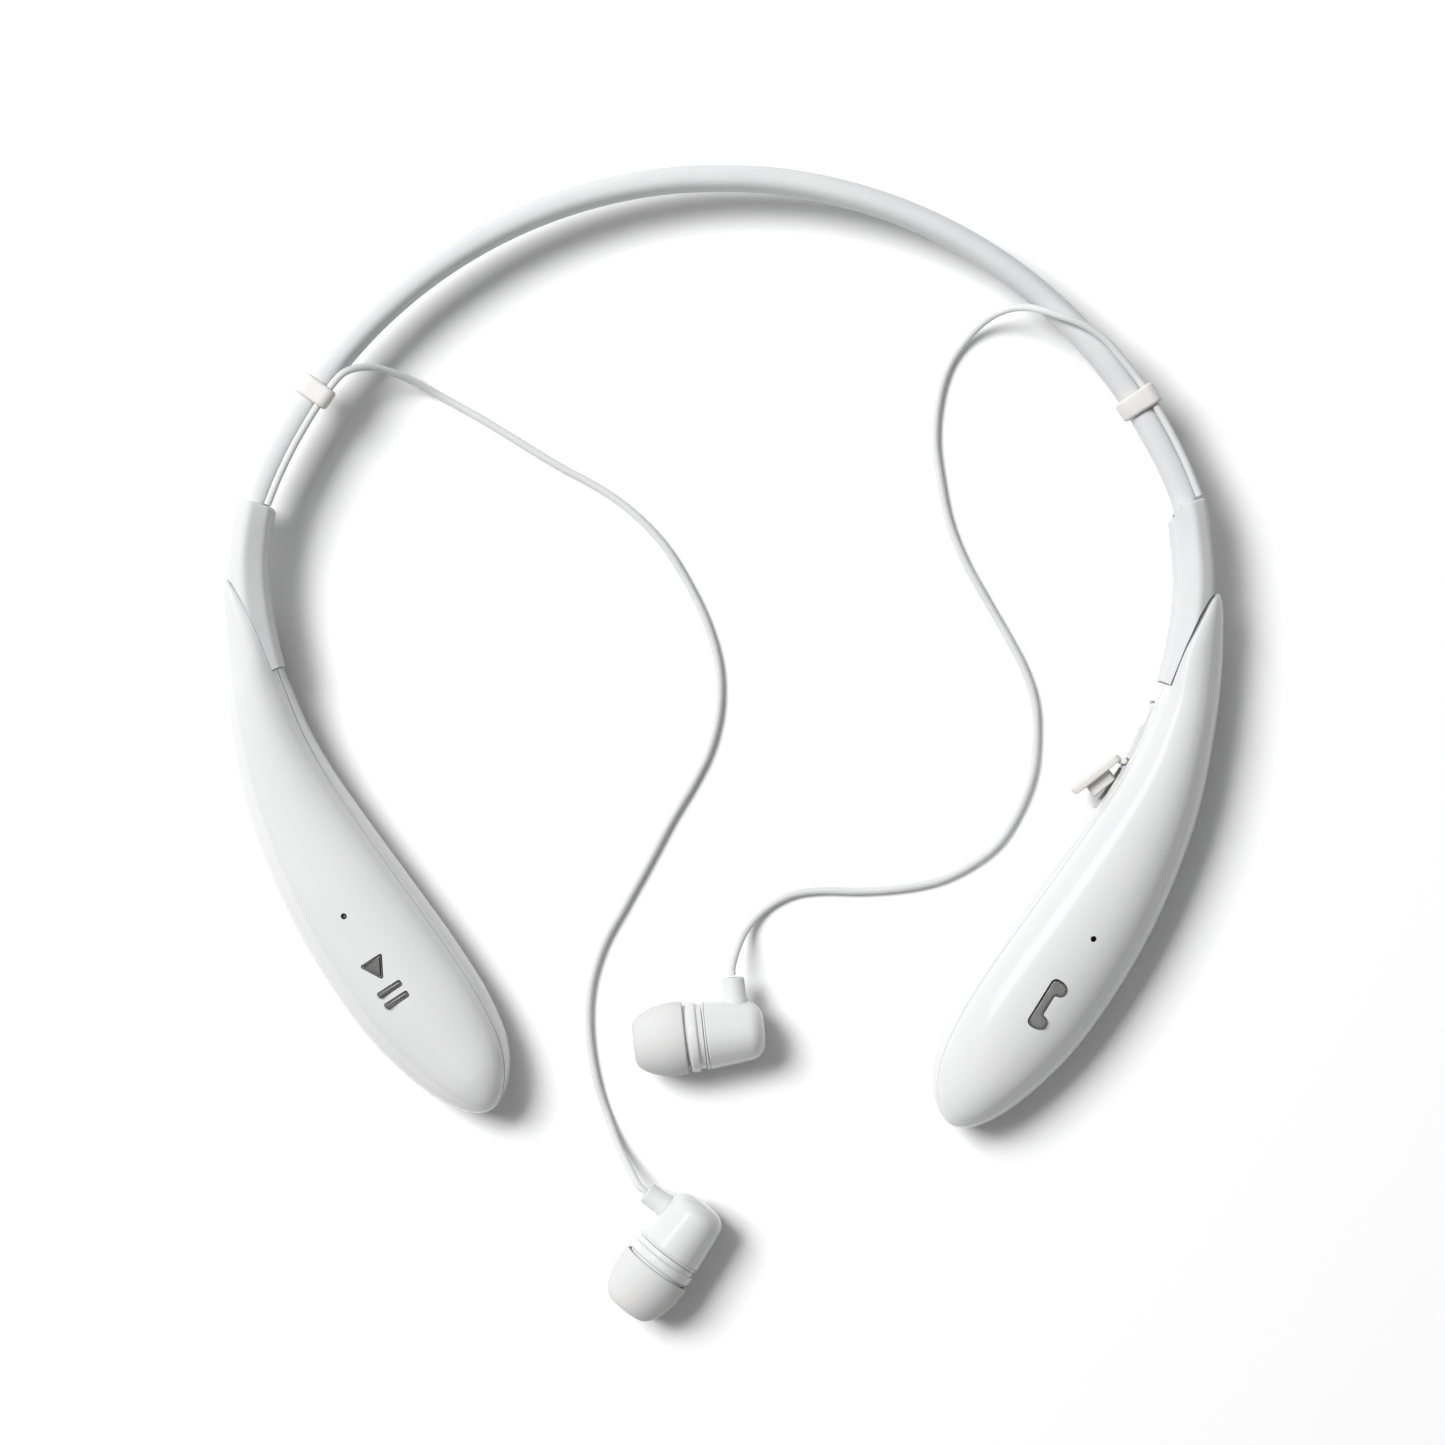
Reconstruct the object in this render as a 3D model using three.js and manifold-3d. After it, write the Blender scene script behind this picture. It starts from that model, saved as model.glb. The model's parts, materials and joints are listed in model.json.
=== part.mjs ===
// Neckband earphones, lying on a table. Millimetres, +Z up, origin on the table at the middle of the object.
// +Y points to the top of the neck loop, and the two pods lie on either side with their ends towards -Y.
// A pod is drawn in its own frame: s runs from its pointed tip to its round end, n points to the inside of
// the loop. The right pod is the mirror image of the left one, so its n is the frame's -y.

import * as THREE from 'three';
import { mergeVertices } from 'three/addons/utils/BufferGeometryUtils.js';
import Module from 'manifold-3d';

const wasm = await Module();
wasm.setup();

// ---------------------------------------------------------------- driving dimensions

const GAP = 0.3; // clearance between pieces that touch

const BAND_RADIUS = 81.2; // the neck loop is one circle, measured to the middle of the band
const BAND_CENTRE_Y = 11.9;
const BAND_Z = 9.0;
const BAND_WIDTH = 4.3;
const BAND_HEIGHT = 6.5;
const BAND_ARC_END = 69; // degrees from the top of the loop to where the band leaves the circle
const BAND_IN_COLLAR = 13; // length of band held in the collar
const WIRE_DIAMETER = 1.1;

const COLLAR_WIDTH = [6.0, 6.5]; // at its mouth and at the pod
const COLLAR_HEIGHT = [9.4, 9.4];
const COLLAR_RIDGE = 0.5; // outwards from the middle
const COLLAR_FALL = { outer: 1.5, inner: 2.0 }; // how far the two slopes beside the ridge drop
const TONGUE_WIDTH = 3.0;
const TONGUE_HEIGHT = 5.0;

const CORD_DIAMETER = 1.25;
const CORD_BESIDE_BAND = 2.15; // sideways from the middle of the band, where the cord runs along it
const CORD_ABOVE_BAND = 3.05;
const CLIP_ANGLE = { left: 55.3, right: 57.1 }; // degrees from the top of the loop
const CLIP_LENGTH = 3.5;
const CLIP_WIDTH = 7.0;
const CLIP_HEIGHT = 9.4;

const POD_LENGTH = 97.7;
const POD_TIP = [81.6, 26.0];
const POD_ANGLE = 64.2; // degrees below horizontal
const POD_DROP = { left: 1.2, right: -1.2 }; // the two pods don't lie quite level with each other
const POD_WALL = 1.5;
const COLLAR_NOTCH_END = 17.1; // the collar lies along the pod up to here
const CAVITY_START = 18;

const KEY_TRAVEL = 0.4;
const KEY_STANDS_PROUD = 0.25;
const KEY_CLEARANCE = 0.2;
const KEY_PLATE_Z = 10.1;
const SWITCH_HEIGHT = 1.4;
const SIDE_Z = 6.6; // middle height of the port and the volume rocker

const EARBUD_Z = 6.2;
const EARBUDS = {
  left: { at: [-10.3, -85.9], heading: 232.8 },
  right: { at: [-5.4, -48.3], heading: 186.5 },
};

// ---------------------------------------------------------------- solids and shapes

// Rings of points, all of one length, become a closed surface with a fan over each end.
function loft(rings) {
  const count = rings[0].length;
  const positions = [];
  const middle = (ring) => ring.reduce((sum, p) => sum.add(p), new THREE.Vector3()).divideScalar(count);
  for (const ring of rings) {
    for (const point of ring) positions.push(point.x, point.y, point.z);
  }
  const first = middle(rings[0]);
  const last = middle(rings[rings.length - 1]);
  positions.push(first.x, first.y, first.z, last.x, last.y, last.z);
  const firstIndex = rings.length * count;
  const lastRing = (rings.length - 1) * count;
  const triangles = [];
  for (let i = 0; i < rings.length - 1; i += 1) {
    for (let j = 0; j < count; j += 1) {
      const k = (j + 1) % count;
      const a = i * count + j;
      const b = i * count + k;
      triangles.push(a, b, b + count, a, b + count, a + count);
    }
  }
  for (let j = 0; j < count; j += 1) {
    const k = (j + 1) % count;
    triangles.push(firstIndex, k, j, firstIndex + 1, lastRing + j, lastRing + k);
  }
  const geometry = new THREE.BufferGeometry();
  geometry.setAttribute('position', new THREE.Float32BufferAttribute(positions, 3));
  geometry.setIndex(triangles);
  return geometry;
}

function signedVolume(position, index) {
  let volume = 0;
  const corner = (i) => new THREE.Vector3().fromBufferAttribute(position, index.getX(i));
  for (let i = 0; i < index.count; i += 3) {
    volume += corner(i).dot(corner(i + 1).cross(corner(i + 2))) / 6;
  }
  return volume;
}

// Merges equal vertices and turns the faces outwards.
function closed(geometry) {
  const plain = geometry.clone();
  plain.deleteAttribute('normal');
  plain.deleteAttribute('uv');
  const merged = mergeVertices(plain, 1e-4);
  const index = merged.getIndex();
  if (signedVolume(merged.getAttribute('position'), index) < 0) {
    const flipped = Array.from(index.array).reverse();
    merged.setIndex(flipped);
  }
  return merged;
}

function solid(geometry) {
  const merged = closed(geometry);
  const mesh = new wasm.Mesh({
    numProp: 3,
    vertProperties: new Float32Array(merged.getAttribute('position').array),
    triVerts: new Uint32Array(merged.getIndex().array),
  });
  return new wasm.Manifold(mesh);
}

function geometryOf(body) {
  const mesh = body.getMesh();
  const geometry = new THREE.BufferGeometry();
  geometry.setAttribute('position', new THREE.Float32BufferAttribute(mesh.vertProperties, 3));
  geometry.setIndex(Array.from(mesh.triVerts));
  return geometry;
}

function box(sizeX, sizeY, sizeZ, x, y, z) {
  return new THREE.BoxGeometry(sizeX, sizeY, sizeZ).translate(x, y, z);
}

// An upright cylinder between two heights.
function post(radius, bottom, top, x, y, sides = 16) {
  const geometry = new THREE.CylinderGeometry(radius, radius, top - bottom, sides);
  return geometry.rotateX(Math.PI / 2).translate(x, y, (bottom + top) / 2);
}

function prism(shape, bottom, top, curveSegments = 6) {
  const options = { depth: top - bottom, bevelEnabled: false, curveSegments };
  return new THREE.ExtrudeGeometry(shape, options).translate(0, 0, bottom);
}

function polygon(points) {
  return new THREE.Shape(points.map(([x, y]) => new THREE.Vector2(x, y)));
}

function roundedRectangle(width, height, radius) {
  const x = width / 2;
  const y = height / 2;
  const shape = new THREE.Shape();
  shape.moveTo(-x + radius, -y);
  shape.lineTo(x - radius, -y);
  shape.absarc(x - radius, -y + radius, radius, -Math.PI / 2, 0);
  shape.lineTo(x, y - radius);
  shape.absarc(x - radius, y - radius, radius, 0, Math.PI / 2);
  shape.lineTo(-x + radius, y);
  shape.absarc(-x + radius, y - radius, radius, Math.PI / 2, Math.PI);
  shape.lineTo(-x, -y + radius);
  shape.absarc(-x + radius, -y + radius, radius, Math.PI, Math.PI * 1.5);
  return shape;
}

// A turned piece about the x axis, from [x, radius] points that start and end on the axis or form a ring.
function turned(profile, ring = false, sides = 16) {
  const points = profile.map(([x, radius]) => new THREE.Vector2(radius, x));
  if (ring) points.push(points[0].clone());
  return new THREE.LatheGeometry(points, sides).rotateZ(-Math.PI / 2);
}

// A smooth function through [x, y] points.
function through(points) {
  const slope = (i) => {
    const [x0, y0] = points[Math.max(i - 1, 0)];
    const [x1, y1] = points[Math.min(i + 1, points.length - 1)];
    return (y1 - y0) / (x1 - x0);
  };
  return (x) => {
    let i = 0;
    while (i < points.length - 2 && x > points[i + 1][0]) i += 1;
    const [x0, y0] = points[i];
    const [x1, y1] = points[i + 1];
    const span = x1 - x0;
    const t = THREE.MathUtils.clamp((x - x0) / span, 0, 1);
    const rise = (2 * t ** 3 - 3 * t ** 2 + 1) * y0 + (3 * t ** 2 - 2 * t ** 3) * y1;
    return rise + (t ** 3 - 2 * t ** 2 + t) * span * slope(i) + (t ** 3 - t ** 2) * span * slope(i + 1);
  };
}

const radians = THREE.MathUtils.degToRad;
const object = new THREE.Group();

function material(color, roughness, metalness = 0) {
  return { color, roughness, metalness };
}

const GLOSS_WHITE = material(0xf1f2f2, 0.12);
const SATIN_WHITE = material(0xf0f0f1, 0.5);
const SOFT_WHITE = material(0xeeefef, 0.6);
const WARM_WHITE = material(0xece9e0, 0.55);
const SILICONE = material(0xeeefef, 0.7);
const DARK_METAL = material(0x6c6c70, 0.3, 1);
const STEEL = material(0xb4b5b8, 0.3, 1);
const BOARD_GREEN = material(0x1f5b3a, 0.5);
const BLACK_PLASTIC = material(0x222326, 0.5);
const FOIL = material(0xb9bcc2, 0.35, 0.8);
const CLEAR = material(0xd8dde0, 0.2);

function addNode(parent, name, geometry, look) {
  const mesh = new THREE.Mesh(closed(geometry), new THREE.MeshStandardMaterial(look));
  mesh.name = name;
  parent.add(mesh);
  return mesh;
}

// ---------------------------------------------------------------- the band and what is on it

const SIDES = { left: -1, right: 1 };

function arcPoint(side, degrees, radius = BAND_RADIUS, z = BAND_Z) {
  const angle = radians(degrees);
  const x = SIDES[side] * radius * Math.sin(angle);
  return new THREE.Vector3(x, BAND_CENTRE_Y + radius * Math.cos(angle), z);
}

// The middle line of band, collar and tongue: the circle, then the gentle turn into the pod.
function bandLine(side) {
  const points = [];
  for (let degrees = -3; degrees < BAND_ARC_END; degrees += 8) points.push(arcPoint(side, degrees));
  const drop = POD_DROP[side];
  const turnIn = [
    [76.1, 40.3], [77.3, 33.6], [77.7, 28.2], [77.4, 22.8], [76.6, 17.4], [75.4, 12.1], [74.0, 7.2],
  ];
  turnIn.forEach(([x, y], i) => {
    const settled = Math.min(i / 2, 1);
    points.push(new THREE.Vector3(SIDES[side] * x, y + drop * settled, BAND_Z));
  });
  return new THREE.CatmullRomCurve3(points, false, 'centripetal');
}

const LINES = { left: bandLine('left'), right: bandLine('right') };
const LINE_LENGTH = LINES.right.getLength();
const TONGUE_END = LINE_LENGTH;
const COLLAR_END = LINE_LENGTH - 2.0;
const COLLAR_MOUTH = BAND_RADIUS * radians(BAND_ARC_END + 4);
const BAND_END = COLLAR_MOUTH + BAND_IN_COLLAR;
const HINGE_AT = BAND_RADIUS * radians(3); // the line starts 3 degrees beyond the top of the loop

// Sweeps a section along the middle line, upright all the way; section(share) gives [out, up] points.
function along(side, from, to, step, section) {
  const line = LINES[side];
  const length = line.getLength();
  const steps = Math.max(1, Math.round((to - from) / step));
  const rings = [];
  for (let i = 0; i <= steps; i += 1) {
    const share = i / steps;
    const at = Math.min((from + (to - from) * share) / length, 1);
    const point = line.getPointAt(at);
    const tangent = line.getTangentAt(at);
    const outward = new THREE.Vector3(-tangent.y, tangent.x, 0).normalize().multiplyScalar(SIDES[side]);
    const place = ([out, up]) => point.clone().addScaledVector(outward, out).setZ(point.z + up);
    rings.push(section(share).map(place));
  }
  return loft(rings);
}

function oval(width, height, sides) {
  const points = [];
  for (let i = 0; i < sides; i += 1) {
    const angle = ((i + 0.5) / sides) * Math.PI * 2;
    const squareness = 0.8;
    const out = Math.sign(Math.cos(angle)) * Math.abs(Math.cos(angle)) ** squareness;
    const up = Math.sign(Math.sin(angle)) * Math.abs(Math.sin(angle)) ** squareness;
    points.push([(out * width) / 2, (up * height) / 2]);
  }
  return points;
}

function softRectangle(width, height, radius) {
  const x = width / 2;
  const y = height / 2;
  const cut = radius * 0.35;
  const bevel = [[x, y - radius], [x - cut, y - cut], [x - radius, y]];
  const corner = (sx, sy) => bevel.map(([a, b]) => [sx * a, sy * b]);
  return [...corner(1, 1), ...corner(-1, 1).reverse(), ...corner(-1, -1), ...corner(1, -1).reverse()];
}

const hinge = arcPoint('right', 0);

function bandSleeve(side) {
  const channelStart = HINGE_AT + BAND_WIDTH + 1;
  const outer = along(side, 0.8, BAND_END, 5, () => oval(BAND_WIDTH, BAND_HEIGHT, 12));
  const bore = WIRE_DIAMETER + 2 * GAP;
  const channel = along(side, channelStart, BAND_END + 1, 7, () => oval(bore, bore, 6));
  const knuckle = solid(post(BAND_WIDTH / 2, 0, 20, hinge.x, hinge.y, 24));
  const socket = solid(post(BAND_WIDTH / 2 + GAP, 0, 20, hinge.x, hinge.y, 24));
  const beyond = solid(box(10, 20, 20, hinge.x - SIDES[side] * 5, hinge.y, 10));
  const sleeve = solid(outer).subtract(solid(channel));
  // The left half ends in a round knuckle on the bending axis, which sits in the right half's socket.
  if (side === 'left') return geometryOf(sleeve.subtract(beyond.subtract(knuckle)));
  return geometryOf(sleeve.subtract(beyond).subtract(socket));
}

function memoryWire(side) {
  const start = HINGE_AT + BAND_WIDTH + 1 + GAP;
  return along(side, start, BAND_END - 0.5, 7, () => oval(WIRE_DIAMETER, WIRE_DIAMETER, 6));
}

// ---------------------------------------------------------------- pod frames and outlines

function podMatrix(side) {
  const sign = SIDES[side];
  const turn = sign > 0 ? Math.PI + radians(POD_ANGLE) : -radians(POD_ANGLE);
  const place = new THREE.Matrix4().makeTranslation(sign * POD_TIP[0], POD_TIP[1] + POD_DROP[side], 0);
  return place.multiply(new THREE.Matrix4().makeRotationZ(turn));
}

const innerEdge = through([
  [0, 0.5], [5, 1.8], [12, 2.3], [20, 2.0], [28, 1.6], [36, 2.2], [46, 3.8], [58, 6.0],
  [70, 8.1], [80, 9.2], [88, 8.8], [92.6, 7.2], [95.6, 5.1], [97.2, 3.1], [POD_LENGTH, 1.7],
]);
const outerEdge = through([
  [0, -0.6], [4.5, -3.3], [9, -5.5], [16, -8.3], [26, -11.4], [35, -13.4], [47, -14.6], [60, -14.5],
  [76, -12.3], [86, -9.1], [92.6, -5.7], [95.6, -3.2], [97.2, -1.0], [POD_LENGTH, 0.5],
]);
const podTop = through([
  [0, 12.0], [6, 12.9], [16, 13.5], [40, 14.0], [70, 14.0], [84, 13.4], [92.6, 12.3], [96.4, 10.8],
  [POD_LENGTH, 9.2],
]);
const underside = through([
  [0, 6.4], [5, 4.5], [10, 2.8], [17, 1.0], [24, 0.0], [28, 0.0], [88, 0.0], [92.6, 0.5], [96.4, 2.4],
  [POD_LENGTH, 4.8],
]);
const podBottom = (s) => Math.max(underside(s), 0); // flat where the pod lies on the table

const POD_STATIONS = [0, 2, 5, 9, 13, 17, 22, 28, 36, 47, 59, 70, 78, 84, 88.5, 92.6, 95.6, 97.2, POD_LENGTH];
// The pod's section, as shares of its width from the inner side and of its height.
const SEAM_INSIDE = [0.085, 0.73];
const SEAM_OUTSIDE = [1.0, 0.44];
const POD_SECTION = [
  [0.0, 0.42], SEAM_INSIDE, [0.16, 0.86], [0.3, 0.965], [0.46, 1.0], [0.63, 0.98], [0.78, 0.905],
  [0.9, 0.77], [0.975, 0.6], SEAM_OUTSIDE, [0.98, 0.26], [0.92, 0.11], [0.8, 0.0],
  [0.22, 0.0], [0.1, 0.06], [0.03, 0.2],
];
const CAVITY_SECTION = [
  [0.0, 0.4], [0.07, 0.72], [0.2, 0.93], [0.46, 1.0], [0.74, 0.93], [0.93, 0.72], [1.0, 0.4], [0.93, 0.1],
  [0.8, 0.0], [0.2, 0.0], [0.06, 0.1],
];

// Near the tip a pod's ridge lies closer to its inner side, where the collar meets it. 1 means no lean.
function lean(s) {
  return 1.6 - 0.6 * THREE.MathUtils.smoothstep(s, 6, 20);
}

// One ring of a pod at station s. Mirroring turns n over for the right pod.
function podRing(section, s, mirror, inset = 0) {
  const inner = innerEdge(s) - inset;
  const outer = outerEdge(s) + inset;
  const bottom = podBottom(s) + inset;
  const top = podTop(s) - inset;
  return section.map(([across, up]) => {
    const n = inner + (outer - inner) * across ** lean(s);
    return new THREE.Vector3(s, mirror * n, bottom + (top - bottom) * up);
  });
}

// The seam's height, sloping from the crease on the inner side down to the middle of the outer side.
function seamTool(mirror, shift) {
  const reach = 8;
  const rings = [-5, ...POD_STATIONS, POD_LENGTH + 5].map((station) => {
    const s = THREE.MathUtils.clamp(station, 0, POD_LENGTH);
    const width = innerEdge(s) - outerEdge(s) + 2;
    const height = podTop(s) - podBottom(s);
    const inside = podBottom(s) + height * SEAM_INSIDE[1] + shift;
    const fall = (height * (SEAM_INSIDE[1] - SEAM_OUTSIDE[1])) / width;
    const low = outerEdge(s) - reach;
    const high = innerEdge(s) + reach;
    const corners = [
      [high, inside + fall * reach], [low, inside - fall * (width + reach)], [low, 30], [high, 30],
    ];
    return corners.map(([n, z]) => new THREE.Vector3(station, mirror * n, z));
  });
  return solid(loft(rings));
}

// The plan area beside the pod's tip that belongs to the collar. grow widens it.
function collarNotch(mirror, grow) {
  const tip = -0.7 + grow;
  const end = COLLAR_NOTCH_END + grow;
  const edge = [[1.5, 1.1], [5, 1.45], [10.4, 1.3], [end, 0.8]].map(([s, n]) => [s, n - grow]);
  const points = [[tip, -14], [tip, 0.2], ...edge, [end, 12], [-45, 12], [-45, -14]];
  return prism(polygon(points.map(([s, n]) => [s, mirror * n])), -5, 25);
}

function tongue(side, extra) {
  const width = TONGUE_WIDTH + extra;
  const height = TONGUE_HEIGHT + extra;
  return along(side, BAND_END + 1, TONGUE_END, 3, () => softRectangle(width, height, 1));
}

// The collar's top is a blunt ridge with a short slope to the outer side and a longer one to the inner side.
function collarSection(width, height) {
  const x = width / 2;
  const y = height / 2;
  return [
    [x, -y + 1], [x, y - COLLAR_FALL.outer - 0.6], [x - 0.4, y - COLLAR_FALL.outer + 0.2],
    [COLLAR_RIDGE + 0.6, y - 0.2], [COLLAR_RIDGE, y], [COLLAR_RIDGE - 0.6, y - 0.25],
    [-x + 0.4, y - COLLAR_FALL.inner + 0.2], [-x, y - COLLAR_FALL.inner - 0.6],
    [-x, -y + 1], [-x + 0.3, -y + 0.3], [-x + 1, -y], [x - 1, -y], [x - 0.3, -y + 0.3],
  ];
}

// The cord's exit is on the inner side of the left band and on the outer side of the right one.
const CORD_SIDE = { left: -1, right: 1 };

function collar(side) {
  const section = (share) => {
    const width = THREE.MathUtils.lerp(COLLAR_WIDTH[0], COLLAR_WIDTH[1], share);
    const height = THREE.MathUtils.lerp(COLLAR_HEIGHT[0], COLLAR_HEIGHT[1], share);
    return collarSection(width, height);
  };
  const sleeve = solid(along(side, COLLAR_MOUTH, COLLAR_END, 3, section));
  const hole = () => oval(BAND_WIDTH + 2 * GAP, BAND_HEIGHT + 2 * GAP, 12);
  const bandHole = along(side, COLLAR_MOUTH - 2, BAND_END + GAP, 4, hole);
  const mirror = -SIDES[side];
  const area = solid(collarNotch(mirror, -GAP / 2).applyMatrix4(podMatrix(side)));
  const beside = sleeve.intersect(area);
  return geometryOf(beside.add(solid(tongue(side, 0))).subtract(solid(bandHole)));
}

// ---------------------------------------------------------------- cords

const CORD_Z = CORD_DIAMETER / 2 + 0.15;
const CORD_STEP = 3.6;

// The left cord drops from its clip to the floor and runs to its earbud.
const LEFT_CORD_FREE = [
  [-61.5, 61.0, 11.7], [-58.2, 62.0, 9.6], [-54.2, 61.4, 6.2], [-50.2, 59.8, 3.1], [-46.2, 57.7, 1.2],
  [-40.1, 54.3, CORD_Z], [-33.4, 50.2, CORD_Z], [-26.8, 46.2, CORD_Z], [-22.1, 43.7, CORD_Z],
  [-17.5, 40.8, CORD_Z], [-12.8, 36.8, CORD_Z], [-9.0, 32.4, CORD_Z], [-5.8, 27.2, CORD_Z],
  [-2.6, 20.6, CORD_Z], [-0.5, 13.2, CORD_Z], [-0.4, 6.0, CORD_Z], [-2.0, -0.8, CORD_Z],
  [-4.5, -6.0, CORD_Z], [-8.3, -12.4, CORD_Z], [-12.3, -19.9, CORD_Z], [-15.9, -26.4, CORD_Z],
  [-19.7, -33.4, CORD_Z], [-21.7, -40.0, CORD_Z], [-22.1, -47.0, CORD_Z], [-21.0, -55.0, CORD_Z],
  [-18.9, -61.8, CORD_Z], [-16.9, -66.9, 2.2], [-14.8, -70.8, 4.4],
];

// The right cord crosses over the band just above its clip, then drops to the floor.
const RIGHT_CORD_FREE = [
  [65.6, 63.0, 12.4], [62.7, 66.2, 12.8], [59.2, 68.5, 13.3], [55.9, 69.8, 13.3], [52.7, 71.0, 12.3],
  [50.0, 71.8, 9.8], [47.0, 71.7, 6.4], [43.9, 70.3, 3.3], [40.7, 67.2, 1.2], [38.0, 63.2, CORD_Z],
  [36.3, 58.0, CORD_Z], [35.6, 51.0, CORD_Z], [36.3, 44.8, CORD_Z], [37.8, 37.3, CORD_Z],
  [40.4, 30.7, CORD_Z], [44.1, 24.0, CORD_Z], [47.6, 17.9, CORD_Z], [50.4, 12.5, CORD_Z],
  [52.1, 7.1, CORD_Z], [52.4, 1.0, CORD_Z], [51.7, -5.2, CORD_Z], [49.3, -11.4, CORD_Z],
  [45.8, -16.7, CORD_Z], [40.9, -20.4, CORD_Z], [35.9, -22.7, CORD_Z], [30.0, -23.9, CORD_Z],
  [22.6, -24.4, CORD_Z], [16.6, -24.3, CORD_Z], [11.6, -25.0, CORD_Z], [7.2, -27.5, CORD_Z],
  [4.6, -30.2, 1.7], [3.0, -33.0, 3.7],
];

// Points on the stretch beside the band, from the collar's mouth to just past the clip.
function cordBesideBand(side) {
  const radius = BAND_RADIUS + CORD_SIDE[side] * CORD_BESIDE_BAND;
  const mouth = BAND_ARC_END + 0.75;
  const points = [];
  for (const degrees of [mouth, 66, 62, CLIP_ANGLE[side] + 2, CLIP_ANGLE[side], CLIP_ANGLE[side] - 2]) {
    points.push(arcPoint(side, degrees, radius, BAND_Z + CORD_ABOVE_BAND));
  }
  return points;
}

function cord(side) {
  const free = side === 'left' ? LEFT_CORD_FREE : RIGHT_CORD_FREE;
  const points = cordBesideBand(side);
  for (const [x, y, z] of free) points.push(new THREE.Vector3(x, y, z));
  points.push(...cordAtEarbud(side));
  const curve = new THREE.CatmullRomCurve3(points, false, 'centripetal');
  const circle = new THREE.Shape();
  circle.absarc(0, 0, CORD_DIAMETER / 2, 0, Math.PI * 2);
  const steps = Math.round(curve.getLength() / CORD_STEP);
  return new THREE.ExtrudeGeometry(circle, { steps, extrudePath: curve, curveSegments: 4 });
}

// ---------------------------------------------------------------- cable clips

function clip(side) {
  const shift = CORD_SIDE[side] * 0.35;
  const shape = roundedRectangle(CLIP_WIDTH, CLIP_HEIGHT, 1.4);
  const block = prism(shape, -CLIP_LENGTH / 2, CLIP_LENGTH / 2, 4);
  const at = arcPoint(side, CLIP_ANGLE[side], BAND_RADIUS + shift, BAND_Z + 0.35);
  const outward = arcPoint(side, CLIP_ANGLE[side], 1, 0).sub(arcPoint(side, CLIP_ANGLE[side], 0, 0));
  const up = new THREE.Vector3(0, 0, 1);
  const basis = new THREE.Matrix4().makeBasis(outward, up, new THREE.Vector3().crossVectors(outward, up));
  block.applyMatrix4(basis.setPosition(at));
  const near = HINGE_AT + BAND_RADIUS * radians(CLIP_ANGLE[side]);
  const bandHole = along(side, near - 6, near + 6, 3, () => oval(BAND_WIDTH + 0.7, BAND_HEIGHT + 0.7, 12));
  const cordSide = CORD_SIDE[side] * CORD_BESIDE_BAND;
  const cordRoom = oval(CORD_DIAMETER + 0.7, CORD_DIAMETER + 0.9, 8);
  const cordSection = cordRoom.map(([out, rise]) => [out + cordSide, rise + CORD_ABOVE_BAND]);
  const cordHole = along(side, near - 6, near + 6, 3, () => cordSection);
  return geometryOf(solid(block).subtract(solid(bandHole)).subtract(solid(cordHole)));
}

// ---------------------------------------------------------------- pods

const BOSSES = [[28.5, -6.2], [90.2, 1.2]];
const BOSS_RADIUS = 1.9;
const BOSS_FOOT_Z = 5.2;

// The signs on the keys, drawn about their own middle with x along the pod and y towards n.
function playSigns() {
  const half = 1.95;
  const bar = (x) => polygon([[x - 0.4, -2.1], [x + 0.4, -2.1], [x + 0.4, 2.1], [x - 0.4, 2.1]]);
  return [polygon([[-3.9, -half], [-0.5, 0], [-3.9, half]]), bar(1.7), bar(3.8)];
}

// A telephone handset: a straight back with a round head at each end.
function handsetSign() {
  const shape = new THREE.Shape();
  shape.moveTo(-3.5, 1.3);
  shape.lineTo(3.5, 1.3);
  shape.quadraticCurveTo(4.3, 1.2, 4.3, 0.3);
  shape.quadraticCurveTo(4.3, -1.5, 3.2, -1.5);
  shape.quadraticCurveTo(2.1, -1.5, 2.1, -0.7);
  shape.quadraticCurveTo(2.0, -0.1, 1.5, -0.1);
  shape.lineTo(-1.5, -0.1);
  shape.quadraticCurveTo(-2.0, -0.1, -2.1, -0.7);
  shape.quadraticCurveTo(-2.1, -1.5, -3.2, -1.5);
  shape.quadraticCurveTo(-4.3, -1.5, -4.3, 0.3);
  shape.quadraticCurveTo(-4.3, 1.2, -3.5, 1.3);
  return [shape];
}

function grown(shape, by) {
  const points = shape.getPoints(5);
  if (points[0].distanceTo(points[points.length - 1]) < 1e-6) points.pop();
  const area = THREE.ShapeUtils.area(points);
  const count = points.length;
  const moved = points.map((p, i) => {
    const before = p.clone().sub(points[(i + count - 1) % count]).normalize();
    const after = points[(i + 1) % count].clone().sub(p).normalize();
    const normalA = new THREE.Vector2(before.y, -before.x).multiplyScalar(Math.sign(area));
    const normalB = new THREE.Vector2(after.y, -after.x).multiplyScalar(Math.sign(area));
    const miter = normalA.clone().add(normalB);
    return p.clone().addScaledVector(miter, (2 * by) / Math.max(miter.lengthSq(), 0.8));
  });
  return new THREE.Shape(moved);
}

const KEYS = {
  left: { name: 'play_pause_key', signs: playSigns(), at: [70.7, -4.6], turn: 7, boardTop: 7.9 },
  right: { name: 'call_key', signs: handsetSign(), at: [72.8, -3.7], turn: 6, boardTop: 5.0 },
};

function placeSign(side, geometry) {
  const key = KEYS[side];
  const mirror = -SIDES[side];
  geometry.scale(1, mirror, 1);
  return geometry.rotateZ(mirror * radians(key.turn)).translate(key.at[0], mirror * key.at[1], 0);
}

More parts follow.
